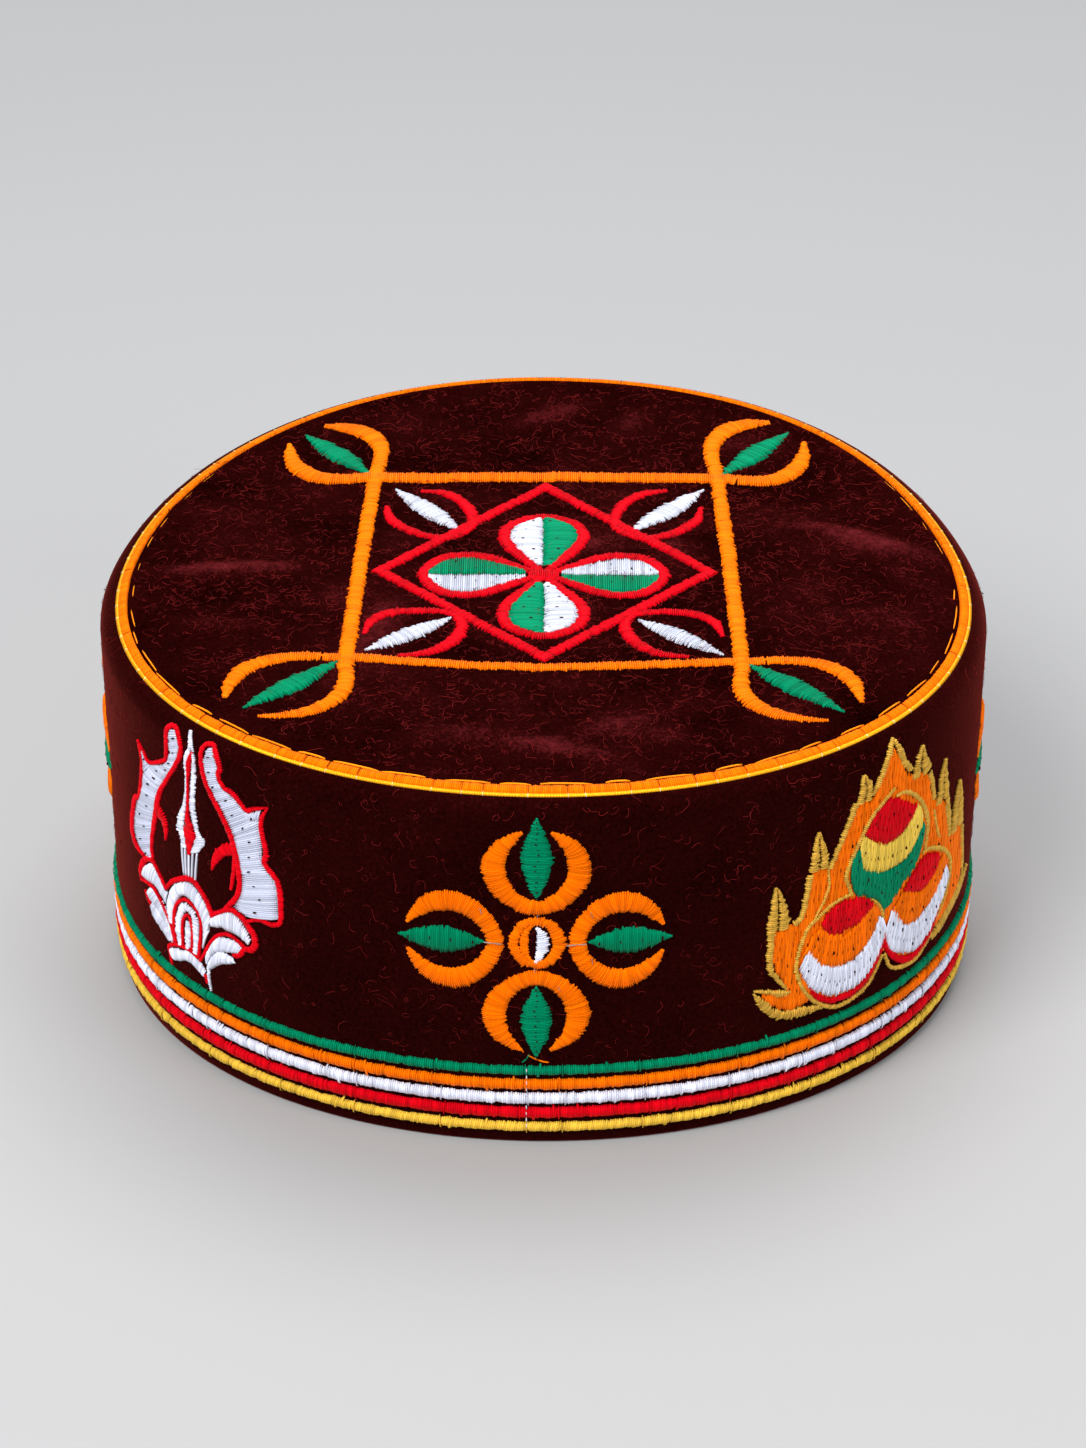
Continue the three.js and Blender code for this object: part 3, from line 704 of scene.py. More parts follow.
THREADS = {
    name: {"slot": slot, "material": thread_material(f"{name}_stitches", colour, roughness)}
    for name, (slot, colour, roughness) in THREAD_LOOKS.items()
}
CORD = thread_material("metal_cord", linear(255, 176, 30), roughness=0.3, metallic=0.45)


# Velvet body

def velvet_band():
    """The side band: outer wall, rounded shoulder, lip under the seam, inner wall and hem."""
    angle = np.linspace(0, 2 * math.pi, ROUND_SEGMENTS, endpoint=False)
    shoulder = shoulder_height(angle)
    lip = shoulder + SHOULDER_ROUND
    loops = []

    def loop(radius, height):
        x, y = outline(angle, radius)
        loops.append(np.stack([x, y, np.broadcast_to(height, angle.shape)], axis=-1))

    for turn in np.linspace(-math.pi / 2, 0, HEM_LOOPS):
        height = HEM_ROUND * (1 + math.sin(turn))
        loop(wall_radius(angle, height) - HEM_ROUND * (1 - math.cos(turn)), height)
    for share in np.linspace(0, 1, WALL_LOOPS)[1:]:
        height = HEM_ROUND + (shoulder - HEM_ROUND) * share
        loop(wall_radius(angle, height), height)
    top = wall_radius(angle, shoulder)
    for turn in np.linspace(0, math.pi / 2, SHOULDER_LOOPS)[1:]:
        loop(top - SHOULDER_ROUND * (1 - math.cos(turn)), shoulder + SHOULDER_ROUND * math.sin(turn))
    loop(SEAM_RADIUS, lip)
    loop(SEAM_RADIUS, lip - WALL)
    loop(top - SHOULDER_ROUND, lip - WALL)
    for share in np.linspace(1, 0, INSIDE_LOOPS):
        loop(wall_radius(angle, shoulder * share) - WALL, shoulder * share)
    vertices = np.stack(loops).reshape(-1, 3)
    faces = grid_triangles(len(loops), ROUND_SEGMENTS, wrap_rows=True, wrap_columns=True)
    settle(add_mesh("velvet_band", vertices, faces, BAND_VELVET), ["side_band"])


def velvet_crown():
    """The crown: a soft folded top over a plain underside."""
    angle = np.linspace(0, 2 * math.pi, ROUND_SEGMENTS, endpoint=False)

    def disc(share):
        x, y = outline(angle, (SEAM_RADIUS - CROWN_INSET) * share)
        return x, y + FRONT_SHIFT * np.cos(angle) ** 2 * (1 - share)

    under = [disc(share) for share in np.linspace(PINHOLE, 1, UNDERSIDE_LOOPS)]
    over = [disc(share) for share in np.linspace(1, PINHOLE, CROWN_LOOPS)]
    loops = [np.stack([x, y, LIP_HEIGHT + rim_rise(y) - CROWN_WALL], axis=-1) for x, y in under]
    loops += [on_crown(x, y, 0) for x, y in over]
    vertices = np.stack(loops).reshape(-1, 3)
    faces = grid_triangles(len(loops), ROUND_SEGMENTS, wrap_rows=True, wrap_columns=True)
    # pile holds painted sheen: the crown is painted paler on its rising folds, where light catches them
    pile = crown_painted_sheen(vertices[:, 0], vertices[:, 1])
    settle(add_mesh("velvet_crown", vertices, faces, CROWN_VELVET, pile=pile), ["crown_top"])


def velvet_fibres(name, place, spots, stand, rng):
    """Loose fibres at the given spots, each curled in a plane that leans out of the pile."""
    count = len(spots)
    step = rng.uniform(*FIBRE_LENGTHS, (count, 1)) / (FIBRE_POINTS - 1)
    curl = rng.normal(0, FIBRE_CURL, (count, 1)) + rng.normal(0, FIBRE_WAVER, (count, FIBRE_POINTS))
    heading = rng.uniform(0, 2 * math.pi, (count, 1)) + np.cumsum(curl, axis=1)
    along = np.cumsum(step * np.cos(heading), axis=1)
    up = np.cumsum(step * np.sin(heading), axis=1)
    up -= up.min(axis=1, keepdims=True)
    turn = rng.uniform(0, 2 * math.pi, count)
    lean = np.radians(rng.uniform(*FIBRE_LEANS, count))
    level = np.stack([np.cos(turn), np.sin(turn), np.zeros(count)], axis=1)[:, None]
    rising = np.stack([
        -np.sin(turn) * np.cos(lean), np.cos(turn) * np.cos(lean), np.sin(lean),
    ], axis=1)[:, None]
    path = along[..., None] * level + up[..., None] * rising
    path += np.concatenate([spots, np.full((count, 1), FIBRE_HALF_WIDTH)], axis=1)[:, None]
    path[..., 2] = np.minimum(path[..., 2], stand)
    aside = np.cos(heading)[..., None] * rising - np.sin(heading)[..., None] * level
    crest = np.cross(level, rising)
    section = np.stack(np.broadcast_arrays(-aside, crest, aside), axis=2)
    flat = path[:, :, None] + FIBRE_HALF_WIDTH * section
    vertices = place(flat[..., 0], flat[..., 1], flat[..., 2]).reshape(-1, 3)
    size = 3 * FIBRE_POINTS
    tone = np.repeat(rng.uniform(0, 1, count), size)
    faces = copies(strand_triangles(FIBRE_POINTS), size, count)
    piece = add_mesh(name, vertices, faces, LINT, tone=tone)
    piece.data.uv_layers.new(name="thread")
    settle(piece)


def fibres():
    """Fibres all over the velvet: half of them evenly spread, half in loose clusters."""
    rng = np.random.default_rng(FIBRE_SEED)

    def clustered(seeds):
        chosen = seeds[rng.integers(0, len(seeds) // 3, len(seeds))]
        return np.concatenate([seeds, chosen + rng.normal(0, CLUSTER_REACH, chosen.shape)])

    half = CROWN_FIBRES // 2
    farthest = RING_INNER - FIBRE_MARGIN
    reach = farthest * np.sqrt(rng.uniform(0, 1, half))
    around = rng.uniform(0, 2 * math.pi, half)
    spots = clustered(np.stack([reach * np.cos(around), reach * np.sin(around)], axis=1))
    spots *= np.minimum(1, farthest / np.hypot(*spots.T))[:, None]
    velvet_fibres("crown_fibres", on_crown, spots, CROWN_STAND, rng)
    half = BAND_FIBRES // 2
    across = rng.uniform(0, WALL_LENGTH, half)
    spots = clustered(np.stack([across, rng.uniform(*FIBRE_LEVELS, half)], axis=1))
    spots[:, 1] = np.clip(spots[:, 1], FIBRE_FLOOR, FIBRE_LEVELS[1])
    velvet_fibres("band_fibres", on_wall, spots, BAND_STAND, rng)


# Seam and hem trim

# Edges of a stripe: distance between their points, and counts of the slow waves along them
EDGE_STEP = 0.5
EDGE_WAVES = (61, 97, 143)
STRIPES = ("green", "orange", "white", "red", "gold")
GOLD_SLANT = 0.5
# Inset from the edges of the solid, and distance between grooves
STRIPE_INSET = 0.02
STRIPE_GROOVES = 6
# Ticks at every third groove: reach past the edges, and spread of their ends
TICK_REACH = 0.35
TICK_SPREAD = 0.15
# Catch stitches down the front of the stripes: across, up at both ends, pitch, and run of a stitch
CATCH_ACROSS = -3.0
CATCH_TOP, CATCH_BOTTOM, CATCH_PITCH = 18.6, 5, 1.5
CATCH_RUN = (0.1, -0.9)


def level_rails(length, low, high, waver=0.0, slant=0.0):
    """Two level edges along the whole of the wall or seam, with a waver and a slant of the stitches."""
    along = np.linspace(0, length, round(length / EDGE_STEP))
    edges = []
    for height, side in ((low, -1), (high, 1)):
        waves = [np.sin(2 * math.pi * count * along / length + side * count) for count in EDGE_WAVES]
        edges.append(np.stack([along + side * slant / 2, height + waver * sum(waves)], 1))
    return edges


def scattered(length, gap, rng, jitter=0.3):
    """Places along a length, about a gap apart."""
    count = round(length / gap)
    return (np.arange(count) + 0.5 + rng.uniform(-jitter, jitter, count)) * length / count


def at_level(along, level):
    """Flat points along the wall or seam, all at one level."""
    return np.stack([along, np.full_like(along, level)], 1)


SEAM_TIES = scattered(SEAM_LENGTH, TIE_GAP, np.random.default_rng(TIE_SEED))


def seam_ring():
    """The satin ring over the seam, sunk at the ties, with painted shade lines across it at the ties.
    """
    work = ThreadWork("seam_ring", "orange", ["crown_satin_ring"])
    rails = level_rails(SEAM_LENGTH, RING_INNER, RING_OUTER)
    work.column(
        rails, on_ring, rise=RING_RISE, ragged=0.04, depth=0.16, pitch=0.4, grooves=SEAM_TIES, sink=0.4,
    )
    work.finish()
    # Dark umber lines across the ring: painted shade of the grooves at the ties
    lines = ThreadWork("ring_tie_painted_shade", "umber_painted_shade")
    in_front = np.minimum(SEAM_TIES, SEAM_LENGTH - SEAM_TIES) < FRONT_TIES
    shown = SEAM_TIES[in_front | (np.arange(len(SEAM_TIES)) % FEWER_TIES == 0)]
    start = at_level(shown, RING_INNER + RING_WALL)
    end = at_level(shown, RING_OUTER - RING_TIE_INSET)
    lines.stitches(start, end, on_ring, RING_RISE, lift=0.06, width=0.14, depth=0.12)
    lines.finish()


def seam_cord():
    """A wrapped gold cord along the outer edge of the ring, tied down with short pale threads."""
    along = np.linspace(0, SEAM_LENGTH, round(SEAM_LENGTH / CORD_STEP), endpoint=False)[:, None]
    around = np.linspace(0, 2 * math.pi, CORD_SIDES, endpoint=False)[None]
    wraps = np.sin(2 * math.pi * round(SEAM_LENGTH / WRAP_PITCH) * along / SEAM_LENGTH + around)
    girth = CORD_RADIUS * (1 + WRAP_DEPTH * wraps)
    radius = CORD_CENTRE + girth * np.cos(around)
    out = girth * np.sin(around)
    points = on_seam(np.broadcast_to(along, radius.shape), radius, out).reshape(-1, 3)
    faces = grid_triangles(len(along), CORD_SIDES, wrap_rows=True, wrap_columns=True)
    # Painted highlight and shade: the cord's tone is lighter on the crests of the wraps and darker
    # between them
    piece = add_mesh("seam_cord", points, faces, CORD, tone=0.5 + 0.3 * wraps.ravel())
    piece.data.uv_layers.new(name="thread")
    settle(piece, ["crown_gold_cord"])
    work = ThreadWork("seam_ties", "pale_gold")
    start = at_level(SEAM_TIES, CORD_CENTRE - TIE_START)
    end = start + at_level(work.rng.normal(0, TIE_SPREAD, len(start)), TIE_RUN)
    work.stitches(start, end, on_seam, 0.6, lift=-0.1, width=0.16, depth=0.14)
    work.finish()


def on_inner_edge(along, radius, out):
    """Points just inside the ring, higher at the front, where the stitches ride up on its edge."""
    front = (1 + np.cos(2 * math.pi * along / SEAM_LENGTH)) / 2
    return on_seam(along, radius, out + RUNNING_RIDE * front ** 2)


def running_stitches():
    """A broken line of long stitches just inside the ring."""
    work = ThreadWork("running_stitches", "amber")
    dashes = scattered(SEAM_LENGTH, RUNNING_GAP, work.rng, jitter=0.15)
    dashes = dashes[np.abs(dashes - SEAM_LENGTH / 2) > RUNNING_END]
    half = work.rng.uniform(*RUNNING_HALVES, len(dashes))
    ends = []
    for along in (dashes - half, dashes + half):
        radius = RUNNING_RADIUS + work.rng.normal(0, RUNNING_SPREAD, len(dashes))
        ends.append(np.stack([along, radius], 1))
    work.stitches(*ends, on_inner_edge, 0.3, lift=RUNNING_LIFT, width=0.36)
    work.finish()


def stripe(colour):
    """One satin stripe round the hem, at the height and width of its solid, with a few loose ticks."""
    low, high = (corner.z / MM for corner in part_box("stripe_" + colour))
    work = ThreadWork("hem_" + colour, colour, ["stripe_" + colour])
    slant = GOLD_SLANT if colour == "gold" else 0.0
    rails = level_rails(WALL_LENGTH, low + STRIPE_INSET, high - STRIPE_INSET, waver=0.03, slant=slant)
    grooves = scattered(WALL_LENGTH, STRIPE_GROOVES, work.rng)
    work.column(
        rails, on_wall, rise=0.75, ragged=0.07, depth=0.22, pitch=0.44,
        stray=0.012, grooves=grooves, sink=0.3, pinch=0.18,
    )
    ticks = grooves[::3]
    start = at_level(ticks, low - TICK_REACH)
    end = at_level(ticks + work.rng.normal(0, TICK_SPREAD, len(ticks)), high + TICK_REACH)
    work.stitches(start, end, on_wall, 0.85, lift=0.1, width=0.22, depth=0.16)
    work.finish()


def front_line():
    """Pale catch stitches that run down the stripes at the front."""
    work = ThreadWork("front_catch_stitches", "white")
    up = np.arange(CATCH_TOP, CATCH_BOTTOM, -CATCH_PITCH)
    start = np.stack([np.full_like(up, CATCH_ACROSS), up], 1)
    work.stitches(start, start + np.array(CATCH_RUN), on_wall, 0.2, lift=0.5, width=0.26)
    work.finish()


# Crown embroidery

FRAME_WIDTH = 3.2
# Corners of the frame: place, spread of the horns and leaf in x and y, and the outward bow of the
# side that leads on
FRAME_CORNERS = [
    {"name": "front_left", "place": (-39.8, -38.3), "spread": (1.0, 0.98), "bow": 3.2},
    {"name": "front_right", "place": (40.0, -38.8), "spread": (1.0, 0.98), "bow": 0.2},
    {"name": "back_right", "place": (37.8, 38.9), "spread": (0.86, 1.14), "bow": 0.0},
    {"name": "back_left", "place": (-36.9, 38.8), "spread": (0.84, 1.02), "bow": 0.2},
]
# Gain in width where the frame runs across the cap: in the middle, and for each millimetre back
ACROSS_GAIN, ACROSS_SLOPE = 0.12, 0.0055
# Horn past a corner: along the side's line, inward from it, share of the width
HORN = [
    (5.5, 0.5, 1.0), (11.5, 0.6, 1.1), (16.6, -1, 1.25),
    (20.6, -4.8, 1.25), (22.7, -10, 0.9), (23.4, -15.6, 0.3),
]
# Leaf of a corner: its ends, in x and in y from the corner, and its width
LEAF_START, LEAF_END, LEAF_WIDTH = 1.4, 19.6, 5.5
# Outline of every leaf: share of its length, share of its width
LEAF_SHAPE = [(0, 0), (0.23, 0.68), (0.49, 1), (0.77, 0.62), (0.93, 0.22), (1, 0)]
# Middles of the diamond's lines, and their width
DIAMOND_TIPS = [(34.9, -2.9), (0.3, 34.3), (-34.5, -2.8), (0.1, -38.0)]
DIAMOND_WIDTH = 2.7
# How far the lines run on past the tips, as a share of their length for each millimetre of width
DIAMOND_OVERRUN = 0.008
# Horseshoes on the diamond's left sides; the right ones are mirrored
BACK_HORSESHOE = [
    (-26.8, 33.2, 1.2), (-21.3, 31.2, 2.5), (-16.7, 25.5, 2.7),
    (-15.2, 17.8, 2.3), (-17.2, 13.4, 1.8), (-21.3, 11.6, 2.2),
    (-27.3, 13.4, 2.6), (-32.4, 18.8, 2.5), (-34.0, 25.7, 1.0),
]
FRONT_HORSESHOE = [
    (-36.6, -29.2, 0.9), (-35.0, -23.6, 2.3), (-31.0, -20.2, 2.6),
    (-24.0, -19.4, 2.2), (-18.6, -21.0, 1.8), (-16.6, -26.2, 2.7),
    (-19.2, -32.6, 3.0), (-23.4, -36.2, 2.4), (-29.5, -37.4, 1.0),
]
HORSESHOES = {"back": BACK_HORSESHOE, "front": FRONT_HORSESHOE}
# White leaves between their prongs: start, end, width, with the right ones mirrored too
INNER_LEAVES = {
    "back_left": [(-17.9, 14.6), (-32.3, 33.4), 5.2],
    "back_right": [(-18.6, 14.4), (-34.8, 33.6), 5.2],
    "front_left": [(-18.9, -22.4), (-36.2, -35.8), 4.8],
    "front_right": [(-19.4, -22.8), (-36.5, -36.4), 4.8],
}
# Middle of the flower, and the short stroke that fills it: x, y, width
FLOWER = (0.0, -4.4)
FLOWER_HEART = [(-3.2, 0, 2.2), (0, 0, 4.4), (3.2, 0, 2.2)]
# Petals: name, heading
PETALS = [("back", 90), ("left", 180), ("front", 270), ("right", 0)]
# Petal outline and the edge of its filling: along from the flower's middle, aside, width
PETAL_OUTLINE = [
    (0.4, 0, 1.8), (6, 3.6, 2.4), (11.5, 7.2, 2.7),
    (16.5, 8.4, 2.7), (21.8, 6.6, 2.7), (25.2, 0, 2.7),
]
PETAL_EDGE = [(3.8, 1.2), (5.6, 2.7), (9, 4.6), (12.6, 6.5), (16.5, 7.3), (21, 5.9), (24.1, 1.4)]
# Halves of a petal: colour, thread, side, margin past the edge; each stops just short of the middle
PETAL_HALVES = [("white", "crown_white_painted_shade", 1, 0.0), ("green", "green", -1, 0.3)]
HALF_INSET = 0.05


def leaf(start, end, width):
    """A pointed leaf between two places, as a stroke."""
    (x0, y0), (x1, y1) = start, end
    return [
        (x0 + (x1 - x0) * share, y0 + (y1 - y0) * share, max(LEAST_WIDTH, width * size))
        for share, size in LEAF_SHAPE
    ]


def both_halves(half):
    """A path down the mirrored half and on along the given half, which start at one point."""
    return [(x, -y, width) for x, y, width in reversed(half)] + list(half[1:])


def frame_side(corner, following):
    """One side of the frame with a horn past each end, wider where it runs across the cap."""
    start, end = np.array(corner["place"]), np.array(following["place"])
    along = (end - start) / np.linalg.norm(end - start)
    inward = np.array([-along[1], along[0]])
    middle = (start + end) / 2 - inward * corner["bow"]

    def horn(tip, spread, heading):
        spread = np.array(spread)
        return [(*(tip + spread * (inward * b + heading * a)), share) for a, b, share in HORN]

    first = horn(start, corner["spread"], -along)
    last = horn(end, following["spread"], along)
    path = np.array(first[::-1] + [(*start, 1), (*middle, 1), (*end, 1)] + last)
    heading = np.gradient(path[:, :2], axis=0)
    across = heading[:, 0] ** 2 / (heading ** 2).sum(axis=1)
    path[:, 2] *= FRAME_WIDTH * (1 + across * (ACROSS_GAIN + ACROSS_SLOPE * path[:, 1]))
    return path


def crown_frame():
    """The orange square with its horns, and a green leaf at each corner."""
    work = ThreadWork("frame_stitches", "orange", ["crown_frame"])
    for corner, following in zip(FRAME_CORNERS, FRAME_CORNERS[1:] + FRAME_CORNERS[:1]):
        work.stroke(frame_side(corner, following), on_crown)
    work.finish()
    for corner in FRAME_CORNERS:
        node = f"corner_leaf_{corner['name']}"
        work = ThreadWork(f"{node}_stitches", "green", [node])
        outward = np.array(corner["spread"]) * np.sign(corner["place"])
        path = leaf(outward * LEAF_START, outward * LEAF_END, LEAF_WIDTH)
        work.stroke(path, moved(*corner["place"], on_crown), ragged=0.22)
        work.finish()


def crown_diamond():
    """The red diamond and its horseshoes, with a white leaf in each horseshoe."""
    work = ThreadWork("diamond_stitches", "crown_red_painted_shade", ["crown_diamond"])
    tips = np.array(DIAMOND_TIPS)
    for start, end in zip(tips, np.roll(tips, -1, axis=0)):
        reach = (end - start) * DIAMOND_WIDTH * DIAMOND_OVERRUN
        work.stroke([(*(start - reach), DIAMOND_WIDTH), (*(end + reach), DIAMOND_WIDTH)], on_crown)
    for side, name in ((1, "left"), (-1, "right")):
        place = mirrored(side, on_crown)
        for end, horseshoe in HORSESHOES.items():
            work.stroke(horseshoe, place)
            node = f"inner_leaf_{end}_{name}"
            white = ThreadWork(f"{node}_stitches", "crown_white_painted_shade", [node])
            white.stroke(leaf(*INNER_LEAVES[f"{end}_{name}"]), place, ragged=0.22)
            white.finish()
    work.finish()


def crown_flower():
    """Four petals of a white and a green half, in red outlines."""
    outlines = ThreadWork("petal_outline_stitches", "crown_red_painted_shade", ["petal_outlines"])
    dark = ThreadWork("petal_slits", "dark")
    ring = PETAL_OUTLINE + [(x, -y, width) for x, y, width in reversed(PETAL_OUTLINE[:-1])]
    edge = smooth_path(PETAL_EDGE)
    for name, heading in PETALS:
        place = turned(heading, moved(*FLOWER, on_crown))
        outlines.stroke(ring, place)
        for colour, thread, side, grow in PETAL_HALVES:
            rails = at_level(edge[:, 0], HALF_INSET * side), edge * np.array([1, side])
            node = f"petal_{name}_{colour}"
            half = ThreadWork(f"{node}_stitches", thread, [node])
            half.column(rails, place, rise=0.5, ragged=0.2, grow=grow)
            half.finish()
            dark.slits(rails, place, gap=4, lift=0.5, spread=0.2)
    outlines.stroke(FLOWER_HEART, moved(*FLOWER, on_crown))
    outlines.finish()
    dark.finish()


# Crosses on the band

CROSS_UP = 48.2
CROSSES = [("cross_front", -1.1), ("cross_right", 147), ("cross_back", 289), ("cross_left", -147)]
# Arms: name, heading, stretch outward and aside, tip of the leaf, gap and size of the leaf's slits
ARMS = [
    ("right", 0, 0.98, 1.0, 26.7, 4, 1), ("up", 90, 1.0, 0.93, 28.6, 1.2, 0.5),
    ("left", 180, 1.0, 1.0, 27.2, 4, 1), ("down", 270, 1.0, 0.93, 27.2, 1.2, 0.5),
]
# Half of a horseshoe from its base: outward along the arm, aside, width
HORSESHOE = [
    (8.1, 0, 3.4), (9.7, 4.6, 3.6), (13.2, 7.9, 4.3), (17.2, 9, 4.7),
    (21.2, 7.8, 3.8), (24, 5.1, 2.2), (25.4, 3, 0.7),
]
CROSS_LEAF_START, CROSS_LEAF_WIDTH = 10.2, 6.1
# Small ring: angle from the right and width, then its half axes
SMALL_RING_WIDTHS = [(0, 2.7), (60, 2.2), (120, 1.9), (180, 2.0), (240, 1.9), (300, 2.1)]
SMALL_RING_ACROSS, SMALL_RING_UP = 4.5, 5.2
# Slivers inside the ring: across, up, width
INNER_CRESCENT = [
    (-0.6, 4.4, 0.5), (-2.0, 2.6, 1.2), (-2.5, 0, 1.6), (-2.1, -2.6, 1.3), (-0.7, -4.5, 0.5),
]
WHITE_SLIVER = [(0, 3.6, 0.5), (0.9, 2.4, 1.6), (1.3, 0.5, 2.6), (1, -2.2, 2.1), (-0.3, -5, 0.5)]
# Pale threads that jump from one part of the cross to the next
CROSS_JUMPS = [
    [(-10.2, 0.3), (-8.4, 0.2), (-6.7, 0)], [(9.8, 0), (7.8, -0.1), (5.8, -0.3)], [(0.2, 7), (0.3, 6)],
    [(-0.3, -5.6), (-0.3, -6.6)], [(-10.9, 8.1), (-10.5, 6.7)], [(10.5, 7.3), (10.9, 5.9)],
    [(10.8, -3.5), (11, -4.9)], [(4.2, -9.7), (4.7, -10.9)],
]
# Loose thread ends at the foot of the cross
ORANGE_ENDS = [
    [(-5.4, -23.4), (-3.2, -24.8), (-2.4, -26.0)], [(-1.6, -26.6), (0.4, -27.8), (2.6, -28.4)],
]
GREEN_END = [(-1.3, -26.4), (-1.9, -27.6), (-2.8, -28.4)]


def cross(name, across):
    """Four horseshoes with a leaf in each, round a small ring."""
    place = moved(across, CROSS_UP, on_wall)
    orange = ThreadWork(f"{name}_orange", "orange", [name])
    green = ThreadWork(f"{name}_green", "green", [f"{name}_leaf_{arm[0]}" for arm in ARMS])
    white = ThreadWork(f"{name}_white", "white")
    dark = ThreadWork(f"{name}_slits", "dark")
    ring = []
    for degrees, width in SMALL_RING_WIDTHS:
        angle = math.radians(degrees)
        ring.append((SMALL_RING_ACROSS * math.cos(angle), SMALL_RING_UP * math.sin(angle), width))
    orange.stroke(ring, place, closed=True, pitch=FINE_PITCH)
    orange.stroke(INNER_CRESCENT, place, pitch=FINE_PITCH)
    white.stroke(WHITE_SLIVER, place)
    grey = ThreadWork(f"{name}_jumps", "grey")
    for jump in CROSS_JUMPS:
        grey.line(jump, place, width=0.13, rise=0.1, lift=0.6)
    for _, heading, outward, aside, tip, gap, size in ARMS:
        arm = turned(heading, place)
        shoe = [(x * outward, y * aside, width) for x, y, width in HORSESHOE]
        orange.stroke(both_halves(shoe), arm, pitch=FINE_PITCH, ragged=0.13)
        path = leaf((CROSS_LEAF_START, 0), (tip, 0), CROSS_LEAF_WIDTH)
        green.stroke(path, arm, ragged=0.17, pitch=FINE_PITCH)
        dark.slits(stroke_rails(path), arm, gap, lift=0.6, size=size)
    for path in ORANGE_ENDS:
        orange.line(path, place)
    green.line(GREEN_END, place)
    for work in (orange, green, white, dark, grey):
        work.finish()


# Lotuses on the band. Areas are rungs: across and up of one end, then of the other

LOTUSES = [("lotus_front_left", -79.5), ("lotus_back_right", 218)]
LOTUS_HORNS = [
    [(-3, 77.5, -1.5, 78), (-3.5, 74.5, 0, 76), (-3.5, 71.5, -0.5, 73), (-6, 68, -2, 69),
     (-11, 65.5, -6, 65), (-14.5, 62, -8, 62), (-16, 58, -9.5, 59), (-19, 52.5, -10.5, 55),
     (-21.5, 45.5, -12, 50), (-19.5, 42, -13.5, 45.5), (-14, 41.5, -13, 42)],
    [(-14.5, 67.5, -14, 67.5), (-14.5, 62, -11.5, 65)],
    [(8.5, 78, 9.5, 78.5), (7.5, 75, 11, 76), (8, 71.5, 11, 73), (9, 69.5, 12, 71),
     (12, 65.5, 16.5, 68.5), (14.5, 61, 21.5, 66), (15, 59, 21.5, 62.5), (16, 54, 22, 56.5),
     (16.5, 51.5, 24.5, 54), (15.5, 47, 25, 50.5), (14.5, 43.5, 25, 46), (17.5, 42.5, 24.5, 44.5)],
    [(18, 65, 18, 67), (20, 66, 20.5, 68), (21.5, 67, 22, 69)],
]
LOTUS_PETALS = [
    [(-18.5, 35, -17, 38), (-15.5, 35.5, -13.5, 40.5), (-12, 36, -10, 40), (-8, 34, -7.5, 36.5)],
    [(-16.5, 32, -15, 34), (-15, 31, -12, 34.5), (-12, 30.5, -10, 33.5), (-8.5, 28.5, -7.5, 31),
     (-6.5, 25, -6, 26.5)],
    [(-15, 29.5, -14, 31), (-14, 27.5, -12, 30.5), (-11.5, 26.5, -9.5, 29.5), (-7.5, 25, -6.5, 26)],
    [(-7, 30, -6, 30), (-7.5, 34.5, -5.5, 33.5), (-5.5, 39, -4, 37), (-2, 42, -1.5, 39.5),
     (1, 43, 0.5, 39.5), (3.5, 42, 2.5, 38.5), (5.5, 40, 4, 36.5), (6.5, 37.5, 4.5, 33.5),
     (6, 34, 4, 29)],
    [(7, 36, 7, 37.5), (9.5, 37, 9, 39.5), (12, 37, 12, 41.5), (14.5, 37, 15, 41),
     (17.5, 36, 18, 37)],
    [(5, 25.5, 5, 28), (6.5, 28.5, 7, 31.5), (8.5, 30.5, 9, 34), (12.5, 32, 14, 35),
     (14.5, 32.5, 15.5, 34)],
    [(5.5, 24.5, 5.5, 26), (6.5, 25.5, 7, 28.5), (9, 27.5, 9.5, 30.5), (13.5, 30, 13, 30.5)],
    [(-6.5, 21, -8, 23), (-3.5, 22.5, -4, 24.5), (-1, 23.5, -0.5, 26), (1.5, 23, 2, 25.5),
     (4, 22, 4.5, 23.5)],
]
LOTUS_SPEAR = [
    [(2, 79.5, 2, 79.5), (3, 76.5, 4, 76.5), (1.5, 73, 2.5, 73), (1.5, 67.5, 2.5, 68),
     (0.5, 62.5, 1.5, 63), (-1.5, 58.5, 0.5, 59), (-2.5, 55.5, 0, 56), (-1.5, 53, 0.5, 53.5),
     (-1.2, 51, 0.4, 51.5)],
    [(2, 79.5, 2.5, 79.5), (4, 76.5, 4.5, 76.5), (4, 73, 5, 73), (3, 67, 4.5, 68),
     (2.5, 62.5, 4, 63), (3, 59, 4.5, 59.5), (4, 56.5, 5, 57), (3, 54, 6.5, 55.5),
     (1.8, 51, 4.5, 52.5)],
]
# Long stitches of the spear's shaft: across at the top, at the bottom
LOTUS_SHAFT = [(-1.1, -0.9), (0, -0.2), (1.3, 0.6), (2.6, 1.5), (3.9, 2.5)]
SHAFT_TOP, SHAFT_BOTTOM = 52.5, 43.8
